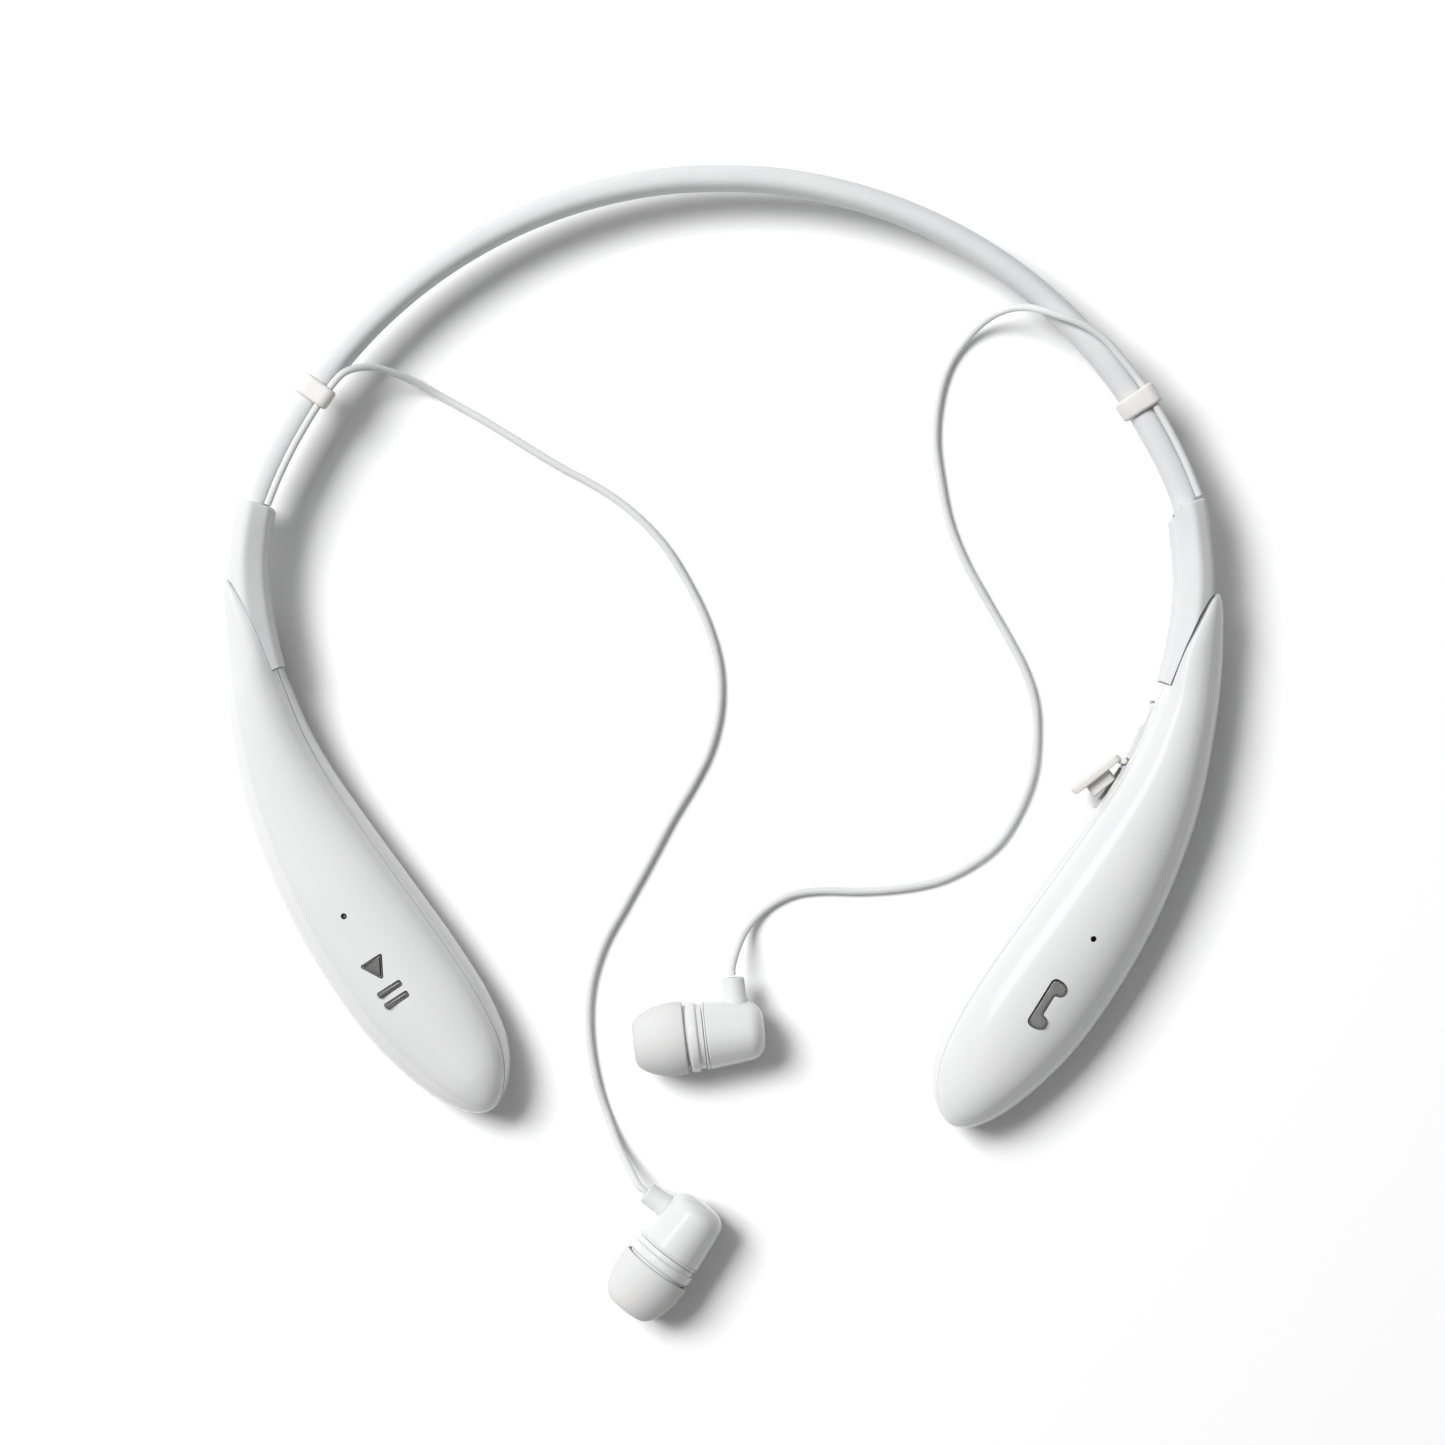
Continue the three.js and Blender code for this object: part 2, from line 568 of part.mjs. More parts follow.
// A key is a plate under the shell, the signs that stand through it, and a stem down to its switch.
function key(side) {
  const spec = KEYS[side];
  const surface = podTop(spec.at[0]);
  const plate = placeSign(side, prism(roundedRectangle(10.4, 5.0, 1.5), KEY_PLATE_Z, KEY_PLATE_Z + 1, 3));
  const switchTop = spec.boardTop + GAP + SWITCH_HEIGHT;
  const stemFoot = switchTop + KEY_TRAVEL + 0.1;
  const stem = post(1.2, stemFoot, KEY_PLATE_Z + 0.5, spec.at[0], -SIDES[side] * spec.at[1], 12);
  let body = solid(plate).add(solid(stem));
  for (const sign of spec.signs) {
    body = body.add(solid(placeSign(side, prism(sign, KEY_PLATE_Z + 0.5, surface + KEY_STANDS_PROUD, 5))));
  }
  return geometryOf(body);
}

const WINDOW_AT = { left: [58.4, -5.9], right: [59.9, -5.8] };
const WINDOW_RADIUS = 0.55;

function podBody(side) {
  const mirror = -SIDES[side];
  const outer = solid(loft(POD_STATIONS.map((s) => podRing(POD_SECTION, s, mirror))));
  const inside = [CAVITY_START, 22, 28, 36, 44, 52, 61, 70, 80, 88.5, 92.6, 95.3];
  const cavity = solid(loft(inside.map((s) => podRing(CAVITY_SECTION, s, mirror, POD_WALL))));
  const notch = solid(collarNotch(mirror, GAP / 2));
  const toPod = podMatrix(side).invert();
  const tongueRoom = solid(tongue(side, 2 * GAP).applyMatrix4(toPod));
  return outer.subtract(cavity).subtract(notch).subtract(tongueRoom);
}

function upperShell(side, body) {
  const mirror = -SIDES[side];
  let shell = body.intersect(seamTool(mirror, GAP / 2));
  for (const [s, n] of BOSSES) {
    const boss = solid(post(BOSS_RADIUS, BOSS_FOOT_Z, podTop(s) - POD_WALL + 0.4, s, mirror * n));
    shell = shell.add(boss).subtract(solid(post(0.85, 0, 10.2, s, mirror * n, 12)));
  }
  for (const sign of KEYS[side].signs) {
    shell = shell.subtract(solid(placeSign(side, prism(grown(sign, KEY_CLEARANCE), 9, 20, 5))));
  }
  const [s, n] = WINDOW_AT[side];
  return shell.subtract(solid(post(WINDOW_RADIUS, 9, 20, s, mirror * n, 12)));
}

function lowerShell(side, body) {
  const mirror = -SIDES[side];
  let shell = body.subtract(seamTool(mirror, -GAP / 2));
  for (const [s, n] of BOSSES) {
    shell = shell.add(solid(post(2.6, podBottom(s) + 0.4, BOSS_FOOT_Z - GAP, s, mirror * n)));
    shell = shell.subtract(solid(post(1.8, -1, podBottom(s) + 2.2, s, mirror * n, 14)));
    shell = shell.subtract(solid(post(0.95, 0, 8, s, mirror * n, 12)));
  }
  return shell;
}

function screw(s, n) {
  const head = solid(post(1.5, podBottom(s) + 0.9, podBottom(s) + 1.9, s, n, 14));
  const slot = solid(box(3.4, 0.4, 0.8, s, n, podBottom(s) + 0.9));
  return geometryOf(head.subtract(slot).add(solid(post(0.55, podBottom(s) + 1.5, 9.7, s, n, 10))));
}

// ---------------------------------------------------------------- right pod's side: rocker, port and cover

const ROCKER_MIDDLE = 25.7;
const ROCKER_LENGTH = 10.2;
const ROCKER_HEIGHT = 4.2;
const COVER_PIVOT = [31.4, innerEdge(31.4)];
const COVER_OPEN = 21; // degrees
const WALL_TURN = 6; // degrees between the wall at the port and the pod's length
const COVER_START = 0.1; // from the pivot, along the wall
const COVER_LENGTH = 9.6;
const COVER_HEIGHT = 5.0;
const COVER_THICKNESS = 1.25;
const PLUG = { from: 2.7, to: 7.5, deep: 1.6, height: 1.4 };
const PORT = { middle: 5.1, width: 7.5, height: 2.5, depth: 5.0, openWidth: 6.9, openHeight: 1.85 };
const PORT_MOUTH = POD_WALL + GAP;

// Places a geometry drawn from the cover's pivot, x along the wall and y out of it, in the right pod's frame.
function atCover(geometry, turn) {
  geometry.rotateZ(radians(turn)).translate(COVER_PIVOT[0], COVER_PIVOT[1], 0);
  return geometry.scale(1, -1, 1);
}

// In plan the rocker is level at its far end and stands proud at the end next to the cover.
function volumeRocker() {
  const half = ROCKER_LENGTH / 2;
  const face = innerEdge(ROCKER_MIDDLE);
  const start = ROCKER_MIDDLE - half;
  const plan = [
    [start, -0.9], [start + ROCKER_LENGTH, -0.9], [start + ROCKER_LENGTH, face - 0.1],
    [start + 9.2, face + 0.35], [start + 4.4, face + 0.5], [start + 3.6, face + 0.05],
    [start + 0.8, face + 0.25], [start, face - 0.1],
  ];
  const low = SIDE_Z - ROCKER_HEIGHT / 2;
  return prism(polygon(plan.map(([s, n]) => [s, -n])), low, low + ROCKER_HEIGHT);
}

function portCover() {
  const turn = WALL_TURN + COVER_OPEN - 1;
  const low = SIDE_Z - COVER_HEIGHT / 2;
  const plate = prism(roundedRectangle(COVER_LENGTH, COVER_HEIGHT, 1.1), 0, COVER_THICKNESS, 4);
  plate.rotateX(Math.PI / 2).translate(COVER_START + COVER_LENGTH / 2, 0.5 + COVER_THICKNESS, SIDE_Z);
  const plugLength = PLUG.to - PLUG.from;
  const plug = prism(roundedRectangle(plugLength, PLUG.height, 0.6), 0, PLUG.deep + 0.8, 4);
  plug.rotateX(Math.PI / 2).translate((PLUG.from + PLUG.to) / 2, 0.8, SIDE_Z);
  const barrel = post(0.5, low + 0.6, low + COVER_HEIGHT - 0.6, 0, 0, 12);
  const web = box(0.5, 1.0, COVER_HEIGHT - 1.4, 0.35, 0.4, SIDE_Z);
  const body = solid(plate).add(solid(plug)).add(solid(barrel)).add(solid(web));
  return atCover(geometryOf(body), turn);
}

function usbPort() {
  const mouth = -PORT_MOUTH;
  const can = solid(box(PORT.width, PORT.depth, PORT.height, PORT.middle, mouth - PORT.depth / 2, SIDE_Z));
  const opening = solid(box(PORT.openWidth, 4.4, PORT.openHeight, PORT.middle, mouth - 1.8, SIDE_Z));
  const blade = solid(box(4.6, 3.6, 0.5, PORT.middle, mouth - 2.6, SIDE_Z + 0.3));
  return atCover(geometryOf(can.subtract(opening).add(blade)), WALL_TURN);
}

function cutSide(shell) {
  const rockerWindow = box(ROCKER_LENGTH + 2 * GAP, 8, ROCKER_HEIGHT + 2 * GAP, ROCKER_MIDDLE, -1.2, SIDE_Z);
  const slot = atCover(box(PORT.width + 0.2, 4, PORT.height + 0.5, PORT.middle, 0, SIDE_Z), WALL_TURN);
  const groove = atCover(post(0.8, SIDE_Z - 2.2, SIDE_Z + 2.2, 0, 0, 14), 0);
  return shell.subtract(solid(rockerWindow)).subtract(solid(slot)).subtract(solid(groove));
}

// ---------------------------------------------------------------- pod internals

function switchBlock(s, n, bottom) {
  const base = solid(box(3.6, 3.6, 0.9, s, n, bottom + 0.45));
  return geometryOf(base.add(solid(post(0.9, bottom + 0.5, bottom + SWITCH_HEIGHT, s, n, 12))));
}

function leftInternals(group) {
  addNode(group, 'battery', prism(roundedRectangle(31, 8.8, 2), 2.3, 6.8, 3).translate(53, -5.9, 0), FOIL);
  const board = prism(roundedRectangle(26, 9.6, 1.5), 7.1, 7.9, 3).translate(68.0, -3.7, 0);
  addNode(group, 'left_circuit_board', board, BOARD_GREEN);
  const [s, n] = KEYS.left.at;
  addNode(group, 'play_pause_switch', switchBlock(s, n, KEYS.left.boardTop + GAP), BLACK_PLASTIC);
  addNode(group, 'vibration_motor', post(3.9, 2.3, 5.0, 78.5, -1.5, 20), STEEL);
  const [ws, wn] = WINDOW_AT.left;
  const pipe = solid(post(1.0, KEYS.left.boardTop + GAP, 11.6, ws, wn, 12));
  const tip = solid(post(0.25, 11, 13.3, ws, wn, 8));
  addNode(group, 'indicator_light', geometryOf(pipe.add(tip)), CLEAR);
}

function rightInternals(group) {
  const outline = [
    [21, -7.2], [21, -2.0], [31, -2.2], [42, -0.4], [60, 2.6], [78, 4.6], [84, 2.4], [82, -4.6], [70, -8.6],
    [50, -10.2], [31, -9.4],
  ];
  const blank = solid(prism(polygon(outline.map(([s, n]) => [s, -n])), 4.0, 5.0));
  const bossHole = solid(post(2.9, 3, 6, BOSSES[0][0], -BOSSES[0][1]));
  addNode(group, 'right_circuit_board', geometryOf(blank.subtract(bossHole)), BOARD_GREEN);
  const onBoard = 5.0 + GAP;
  addNode(group, 'radio_module', box(8, 7, 1.8, 50, 4.2, onBoard + 0.9), STEEL);
  addNode(group, 'usb_port', usbPort(), STEEL);
  const [s, n] = KEYS.right.at;
  addNode(group, 'call_key_switch', switchBlock(s, -n, onBoard), BLACK_PLASTIC);
  for (const [name, at] of [['volume_up_switch', 22.4], ['volume_down_switch', 29.2]]) {
    const body = solid(box(2.8, 1.6, 2.8, at, 2.7, onBoard + 1.4));
    const button = box(1.2, 0.8, 1.0, at, 1.7, onBoard + 1.4);
    addNode(group, name, geometryOf(body.add(solid(button))), BLACK_PLASTIC);
  }
  const [ws, wn] = WINDOW_AT.right;
  addNode(group, 'microphone', box(3, 2.4, 1.1, ws, -wn, onBoard + 0.55), STEEL);
  const tube = solid(post(1.4, onBoard + 1.4, 11.6, ws, -wn, 14));
  const bore = solid(post(0.7, 0, 20, ws, -wn, 10));
  addNode(group, 'microphone_gasket', geometryOf(tube.subtract(bore)), BLACK_PLASTIC);
}

function pod(side) {
  const group = new THREE.Group();
  podMatrix(side).decompose(group.position, group.quaternion, group.scale);
  const body = podBody(side);
  addNode(group, `${side}_upper_shell`, geometryOf(upperShell(side, body)), GLOSS_WHITE);
  const lower = lowerShell(side, body);
  addNode(group, `${side}_lower_shell`, geometryOf(side === 'right' ? cutSide(lower) : lower), GLOSS_WHITE);
  addNode(group, KEYS[side].name, key(side), DARK_METAL);
  BOSSES.forEach(([s, n], i) => {
    addNode(group, `${side}_pod_screw_${i + 1}`, screw(s, -SIDES[side] * n), STEEL);
  });
  if (side === 'left') {
    leftInternals(group);
  } else {
    rightInternals(group);
    addNode(group, 'volume_rocker', volumeRocker(), GLOSS_WHITE);
    addNode(group, 'port_cover', portCover(), WARM_WHITE);
  }
  return group;
}

// ---------------------------------------------------------------- earbuds, drawn with x towards the ear

const HOUSING_OUTSIDE = [
  [-12.7, 0], [-12.6, 2.4], [-12.1, 3.9], [-11.0, 4.75], [-9.4, 5.0], [-6.0, 5.35], [-2.7, 5.7],
];
const HOUSING_INSIDE = [[-2.7, 4.75], [-6.0, 4.5], [-9.4, 4.2], [-11.0, 3.4], [-11.7, 0]];
const FRONT_RING = [
  [-4.2, 4.35], [-2.4, 4.35], [-2.4, 5.35], [-1.7, 5.45], [-1.6, 5.85], [-0.3, 5.85], [0, 5.5], [0, 2.3],
  [4.5, 2.3], [4.5, 1.6], [-1.2, 1.6], [-1.2, 3.6], [-4.2, 3.6],
];
const EAR_TIP = [
  [0.4, 2.6], [0.4, 3.2], [6.4, 3.2], [7.2, 3.6], [5.6, 4.9], [0.6, 5.5], [0.5, 5.95], [2.2, 6.12],
  [4.6, 5.8], [6.8, 5.05], [8.4, 4.1], [9.0, 2.7], [8.8, 2.0], [5.0, 2.0], [5.0, 2.6],
];
const DRIVER = [[-7.6, 0], [-7.6, 2.4], [-6.2, 2.6], [-6.0, 3.9], [-4.6, 3.9], [-4.6, 0]];
const NOZZLE_MESH = [[3.9, 0], [3.9, 1.3], [4.2, 1.3], [4.2, 0]];
const RELIEF_AT = -8.4;
const RELIEF_RADIUS = 1.9;
const RELIEF_TOP = 9.0;

// A round post that stands out of the earbud's side, along its -y.
function sidePost(radius, from, to, sides = 16) {
  const geometry = new THREE.CylinderGeometry(radius, radius, to - from, sides);
  return geometry.translate(RELIEF_AT, -(from + to) / 2, 0);
}

function earbudHousing() {
  const cup = solid(turned([...HOUSING_OUTSIDE, ...HOUSING_INSIDE]));
  return geometryOf(cup.subtract(solid(sidePost(1.3, 3, 8, 12))));
}

function strainRelief() {
  const around = HOUSING_OUTSIDE.map(([x, r]) => [x, r === 0 ? 0 : r + GAP]);
  const clearOf = solid(turned([...around, [-2.7, 0]]));
  const sleeve = solid(sidePost(RELIEF_RADIUS, 3, RELIEF_TOP)).subtract(clearOf);
  return geometryOf(sleeve.add(solid(sidePost(1.0, 3.6, 6.5, 12))));
}

function earbudMatrix(side) {
  const { at, heading } = EARBUDS[side];
  const place = new THREE.Matrix4().makeTranslation(at[0], at[1], EARBUD_Z);
  return place.multiply(new THREE.Matrix4().makeRotationZ(radians(heading)));
}

// The last points of a cord, straight into the end of the strain relief.
function cordAtEarbud(side) {
  const at = (distance, z) => {
    const point = new THREE.Vector3(RELIEF_AT, -distance, 0).applyMatrix4(earbudMatrix(side));
    return point.setZ(z);
  };
  return [at(RELIEF_TOP + 1.3, EARBUD_Z - 0.15), at(RELIEF_TOP + GAP, EARBUD_Z)];
}

function earbud(side) {
  const group = new THREE.Group();
  earbudMatrix(side).decompose(group.position, group.quaternion, group.scale);
  addNode(group, `${side}_earbud_housing`, earbudHousing(), GLOSS_WHITE);
  addNode(group, `${side}_earbud_front_ring`, turned(FRONT_RING, true), GLOSS_WHITE);
  addNode(group, `${side}_ear_tip`, turned(EAR_TIP, true), SILICONE);
  addNode(group, `${side}_strain_relief`, strainRelief(), SOFT_WHITE);
  addNode(group, `${side}_driver`, turned(DRIVER), STEEL);
  addNode(group, `${side}_nozzle_mesh`, turned(NOZZLE_MESH, false, 12), STEEL);
  return group;
}

// ---------------------------------------------------------------- the whole object

for (const side of ['left', 'right']) {
  addNode(object, `${side}_band_sleeve`, bandSleeve(side), SATIN_WHITE);
  addNode(object, `${side}_memory_wire`, memoryWire(side), STEEL);
  addNode(object, `${side}_collar`, collar(side), SATIN_WHITE);
  addNode(object, `${side}_cable_clip`, clip(side), WARM_WHITE);
  object.add(pod(side));
  object.add(earbud(side));
  addNode(object, `${side}_cord`, cord(side), SOFT_WHITE);
}

export default object;
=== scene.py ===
import json
import math

import bmesh
import bpy
import numpy as np
from mathutils import Matrix, Vector


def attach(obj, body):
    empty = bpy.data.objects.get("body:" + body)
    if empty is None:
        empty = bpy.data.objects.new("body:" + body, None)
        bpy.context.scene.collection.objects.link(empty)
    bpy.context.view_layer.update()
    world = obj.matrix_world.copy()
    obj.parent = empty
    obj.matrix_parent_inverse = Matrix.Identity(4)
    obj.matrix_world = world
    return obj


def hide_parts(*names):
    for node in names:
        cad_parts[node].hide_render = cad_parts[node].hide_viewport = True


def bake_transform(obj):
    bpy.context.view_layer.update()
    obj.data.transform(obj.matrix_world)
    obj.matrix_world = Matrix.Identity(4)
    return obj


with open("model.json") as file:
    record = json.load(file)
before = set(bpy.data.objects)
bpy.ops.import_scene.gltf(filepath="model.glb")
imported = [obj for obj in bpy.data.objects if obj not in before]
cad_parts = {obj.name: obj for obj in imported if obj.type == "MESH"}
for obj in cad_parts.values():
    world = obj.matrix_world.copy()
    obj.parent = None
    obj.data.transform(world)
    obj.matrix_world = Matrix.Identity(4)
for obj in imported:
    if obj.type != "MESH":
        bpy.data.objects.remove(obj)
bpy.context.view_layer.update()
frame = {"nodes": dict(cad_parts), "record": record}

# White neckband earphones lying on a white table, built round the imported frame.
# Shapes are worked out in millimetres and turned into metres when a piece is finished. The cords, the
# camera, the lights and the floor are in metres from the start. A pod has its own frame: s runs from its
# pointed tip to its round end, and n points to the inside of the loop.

MM = 0.001

# ---------------------------------------------------------------- dimensions shared with the CAD model

GAP = 0.3
BAND_RADIUS = 81.2
BAND_CENTRE_Y = 11.9
BAND_Z = 9.0
BAND_WIDTH = 4.3
BAND_HEIGHT = 6.5
BAND_ARC_END = 69
BAND_IN_COLLAR = 13
COLLAR_WIDTH = (6.0, 6.5)
COLLAR_HEIGHT = (9.4, 9.4)
COLLAR_RIDGE = 0.5  # outwards from the middle
COLLAR_FALL = (1.5, 2.0)  # how far the outer and the inner slope drop
CORD_DIAMETER = 1.25
CORD_BESIDE_BAND = 2.15
CORD_ABOVE_BAND = 3.05
CLIP_ANGLE = {"left": 55.3, "right": 57.1}
CLIP_LENGTH = 3.5
POD_TIP = (81.6, 26.0)
POD_ANGLE = 64.2
POD_DROP = {"left": 1.2, "right": -1.2}
COLLAR_NOTCH_END = 17.1
SIDE_Z = 6.6
EARBUD_Z = 6.2
EARBUDS = {"left": ((-10.3, -85.9), 232.8), "right": ((-5.4, -48.3), 186.5)}
RELIEF_AT = -8.4
RELIEF_RADIUS = 1.9
RELIEF_TOP = 9.0
SIDES = {"left": -1, "right": 1}
CORD_SIDE = {"left": -1, "right": 1}  # -1 is inside the band and 1 outside it

# ---------------------------------------------------------------- camera

CAMERA_AT = (0.00025, 0.00365, 0.650)
CAMERA_LENS = 97.2

camera_data = bpy.data.cameras.new("camera")
camera_data.lens = CAMERA_LENS
camera_data.sensor_width = 36
camera_data.clip_start = 0.01
camera_data.clip_end = 20
camera = bpy.data.objects.new("camera", camera_data)
camera.location = CAMERA_AT
bpy.context.scene.collection.objects.link(camera)
bpy.context.scene.camera = camera

# ---------------------------------------------------------------- curves and lines


def centripetal(points, per_span):
    """The centripetal Catmull-Rom curve through the points, as the CAD model draws it."""
    p = np.array(points, float)
    p = np.vstack([2 * p[0] - p[1], p, 2 * p[-1] - p[-2]])
    t = np.linspace(0, 1, per_span, endpoint=False)[:, None]
    pieces = []
    for i in range(1, len(p) - 2):
        a, b, c, d = p[i - 1 : i + 3]
        d0, d1, d2 = (max(np.linalg.norm(v), 1e-6) ** 0.5 for v in (b - a, c - b, d - c))
        m1 = ((b - a) / d0 - (c - a) / (d0 + d1) + (c - b) / d1) * d1
        m2 = ((c - b) / d1 - (d - b) / (d1 + d2) + (d - c) / d2) * d1
        third = 2 * b - 2 * c + m1 + m2
        second = -3 * b + 3 * c - 2 * m1 - m2
        pieces.append(b + m1 * t + second * t**2 + third * t**3)
    return np.vstack([*pieces, p[-2]])


def closed_curve(points, per_span):
    """A closed smooth curve through the points; per_span samples for each of them."""
    p = [*points[-3:], *points, *points[:4]]
    curve = centripetal(p, per_span)
    start = 3 * per_span
    return curve[start : start + len(points) * per_span + 1]


def lengths(line):
    steps = np.linalg.norm(np.diff(line, axis=0), axis=1)
    return np.concatenate([[0], np.cumsum(steps)])


def resampled(line, positions):
    """Points of a line at the given distances from its start."""
    along = lengths(line)
    return np.stack([np.interp(positions, along, line[:, k]) for k in range(line.shape[1])], axis=1)


def arc_point(side, degrees, radius=BAND_RADIUS, z=BAND_Z):
    angle = math.radians(degrees)
    return (SIDES[side] * radius * math.sin(angle), BAND_CENTRE_Y + radius * math.cos(angle), z)


TURN_IN = ((76.1, 40.3), (77.3, 33.6), (77.7, 28.2), (77.4, 22.8), (76.6, 17.4), (75.4, 12.1), (74.0, 7.2))


def band_line(side):
    points = [arc_point(side, degrees) for degrees in range(-3, BAND_ARC_END, 8)]
    for i, (x, y) in enumerate(TURN_IN):
        settled = min(i / 2, 1)
        points.append((SIDES[side] * x, y + POD_DROP[side] * settled, BAND_Z))
    return centripetal(points, 40)


LINES = {side: band_line(side) for side in SIDES}
COLLAR_MOUTH = BAND_RADIUS * math.radians(BAND_ARC_END + 4)
BAND_END = COLLAR_MOUTH + BAND_IN_COLLAR
HINGE_AT = BAND_RADIUS * math.radians(3)  # a line starts 3 degrees beyond the top of the loop
COLLAR_END = lengths(LINES["right"])[-1] - 2.0


def rings_along(side, positions, sections):
    """Rings of [out, up] section points set upright along one side's middle line, none past its ends."""
    line = LINES[side]
    step = 0.2
    positions = np.clip(positions, step, lengths(line)[-1] - step)
    centre = resampled(line, positions)
    ahead = resampled(line, positions + step)
    behind = resampled(line, positions - step)
    tangent = ahead - behind
    tangent /= np.linalg.norm(tangent, axis=1)[:, None]
    outward = np.stack([-tangent[:, 1], tangent[:, 0], np.zeros(len(tangent))], axis=1) * SIDES[side]
    rings = []
    for point, out, section in zip(centre, outward, sections):
        section = np.asarray(section)
        rings.append(point + section[:, :1] * out + section[:, 1:] * np.array([0, 0, 1.0]))
    return rings


def oval(width, height, sides, squareness=0.8):
    angle = np.linspace(0, 2 * math.pi, sides, endpoint=False)
    cosine, sine = np.cos(angle), np.sin(angle)
    out = np.sign(cosine) * np.abs(cosine) ** squareness * width / 2
    up = np.sign(sine) * np.abs(sine) ** squareness * height / 2
    return np.stack([out, up], axis=1)


def soft_rectangle(width, height, radius, sides):
    """A rectangle with round corners, its points evenly spaced from the middle of its +x side."""
    x, y = width / 2 - radius, height / 2 - radius
    outline = [(width / 2, 0)]
    for corner, (sx, sy) in enumerate(((1, 1), (-1, 1), (-1, -1), (1, -1))):
        for turn in np.linspace(0, math.pi / 2, 9):
            angle = corner * math.pi / 2 + turn
            outline.append((sx * x + radius * math.cos(angle), sy * y + radius * math.sin(angle)))
    outline.append((width / 2, 0))
    outline = np.array(outline)
    total = lengths(outline)[-1]
    return resampled(outline, np.linspace(0, total, sides, endpoint=False))


# ---------------------------------------------------------------- cords, in metres

CORD_Z = 0.000775

LEFT_CORD_FREE = (
    (-0.0615, 0.0610, 0.0117), (-0.0582, 0.0620, 0.0096), (-0.0542, 0.0614, 0.0062),
    (-0.0502, 0.0598, 0.0031), (-0.0462, 0.0577, 0.0012), (-0.0401, 0.0543, CORD_Z),
    (-0.0334, 0.0502, CORD_Z), (-0.0268, 0.0462, CORD_Z), (-0.0221, 0.0437, CORD_Z),
    (-0.0175, 0.0408, CORD_Z), (-0.0128, 0.0368, CORD_Z), (-0.0090, 0.0324, CORD_Z),
    (-0.0058, 0.0272, CORD_Z), (-0.0026, 0.0206, CORD_Z), (-0.0005, 0.0132, CORD_Z),
    (-0.0004, 0.0060, CORD_Z), (-0.0020, -0.0008, CORD_Z), (-0.0045, -0.0060, CORD_Z),
    (-0.0083, -0.0124, CORD_Z), (-0.0123, -0.0199, CORD_Z), (-0.0159, -0.0264, CORD_Z),
    (-0.0197, -0.0334, CORD_Z), (-0.0217, -0.0400, CORD_Z), (-0.0221, -0.0470, CORD_Z),
    (-0.0210, -0.0550, CORD_Z), (-0.0189, -0.0618, CORD_Z), (-0.0169, -0.0669, 0.0022),
    (-0.0148, -0.0708, 0.0044),
)
RIGHT_CORD_FREE = (
    (0.0656, 0.0630, 0.0124), (0.0627, 0.0662, 0.0128), (0.0592, 0.0685, 0.0133),
    (0.0559, 0.0698, 0.0133), (0.0527, 0.0710, 0.0123), (0.0500, 0.0718, 0.0098),
    (0.0470, 0.0717, 0.0064), (0.0439, 0.0703, 0.0033), (0.0407, 0.0672, 0.0012),
    (0.0380, 0.0632, CORD_Z), (0.0363, 0.0580, CORD_Z), (0.0356, 0.0510, CORD_Z),
    (0.0363, 0.0448, CORD_Z), (0.0378, 0.0373, CORD_Z), (0.0404, 0.0307, CORD_Z),
    (0.0441, 0.0240, CORD_Z), (0.0476, 0.0179, CORD_Z), (0.0504, 0.0125, CORD_Z),
    (0.0521, 0.0071, CORD_Z), (0.0524, 0.0010, CORD_Z), (0.0517, -0.0052, CORD_Z),
    (0.0493, -0.0114, CORD_Z), (0.0458, -0.0167, CORD_Z), (0.0409, -0.0204, CORD_Z),
    (0.0359, -0.0227, CORD_Z), (0.0300, -0.0239, CORD_Z), (0.0226, -0.0244, CORD_Z),
    (0.0166, -0.0243, CORD_Z), (0.0116, -0.0250, CORD_Z), (0.0072, -0.0275, CORD_Z),
    (0.0046, -0.0302, 0.0017), (0.0030, -0.0330, 0.0037),
)
CORD_FREE = {"left": LEFT_CORD_FREE, "right": RIGHT_CORD_FREE}


def earbud_place(side):
    (x, y), heading = EARBUDS[side]
    return Matrix.Translation((x, y, EARBUD_Z)) @ Matrix.Rotation(math.radians(heading), 4, "Z")


def cord_route(side):
    """The route in metres: out of the collar's mouth, beside the band, through the clip, to the earbud."""
    radius = BAND_RADIUS + CORD_SIDE[side] * CORD_BESIDE_BAND
    clip = CLIP_ANGLE[side]
    stations = (BAND_ARC_END + 0.75, 66, 62, clip + 2, clip, clip - 2)
    beside = [arc_point(side, degrees, radius, BAND_Z + CORD_ABOVE_BAND) for degrees in stations]
    points = [[value * MM for value in point] for point in beside]
    points += [list(point) for point in CORD_FREE[side]]
    for distance, height in ((RELIEF_TOP + 1.3, EARBUD_Z - 0.15), (RELIEF_TOP + GAP, EARBUD_Z)):
        end = earbud_place(side) @ Vector((RELIEF_AT, -distance, 0))
        points.append([end.x * MM, end.y * MM, height * MM])
    return centripetal(points, 6)


def cord_piece(side, material):
    route = cord_route(side)
    curve = bpy.data.curves.new(f"{side}_earbud_cord", "CURVE")
    curve.dimensions = "3D"
    curve.bevel_depth = CORD_DIAMETER * MM / 2
    curve.bevel_resolution = 6
    curve.use_fill_caps = True
    spline = curve.splines.new("POLY")
    spline.points.add(len(route) - 1)
    for point, place in zip(spline.points, route):
        point.co = (*place, 1)
    spline.use_smooth = True
    curve.materials.append(material)
    piece = bpy.data.objects.new(f"{side}_earbud_cord", curve)
    bpy.context.scene.collection.objects.link(piece)
    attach(piece, f"{side}_arm")
    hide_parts(f"{side}_cord")


# ---------------------------------------------------------------- materials


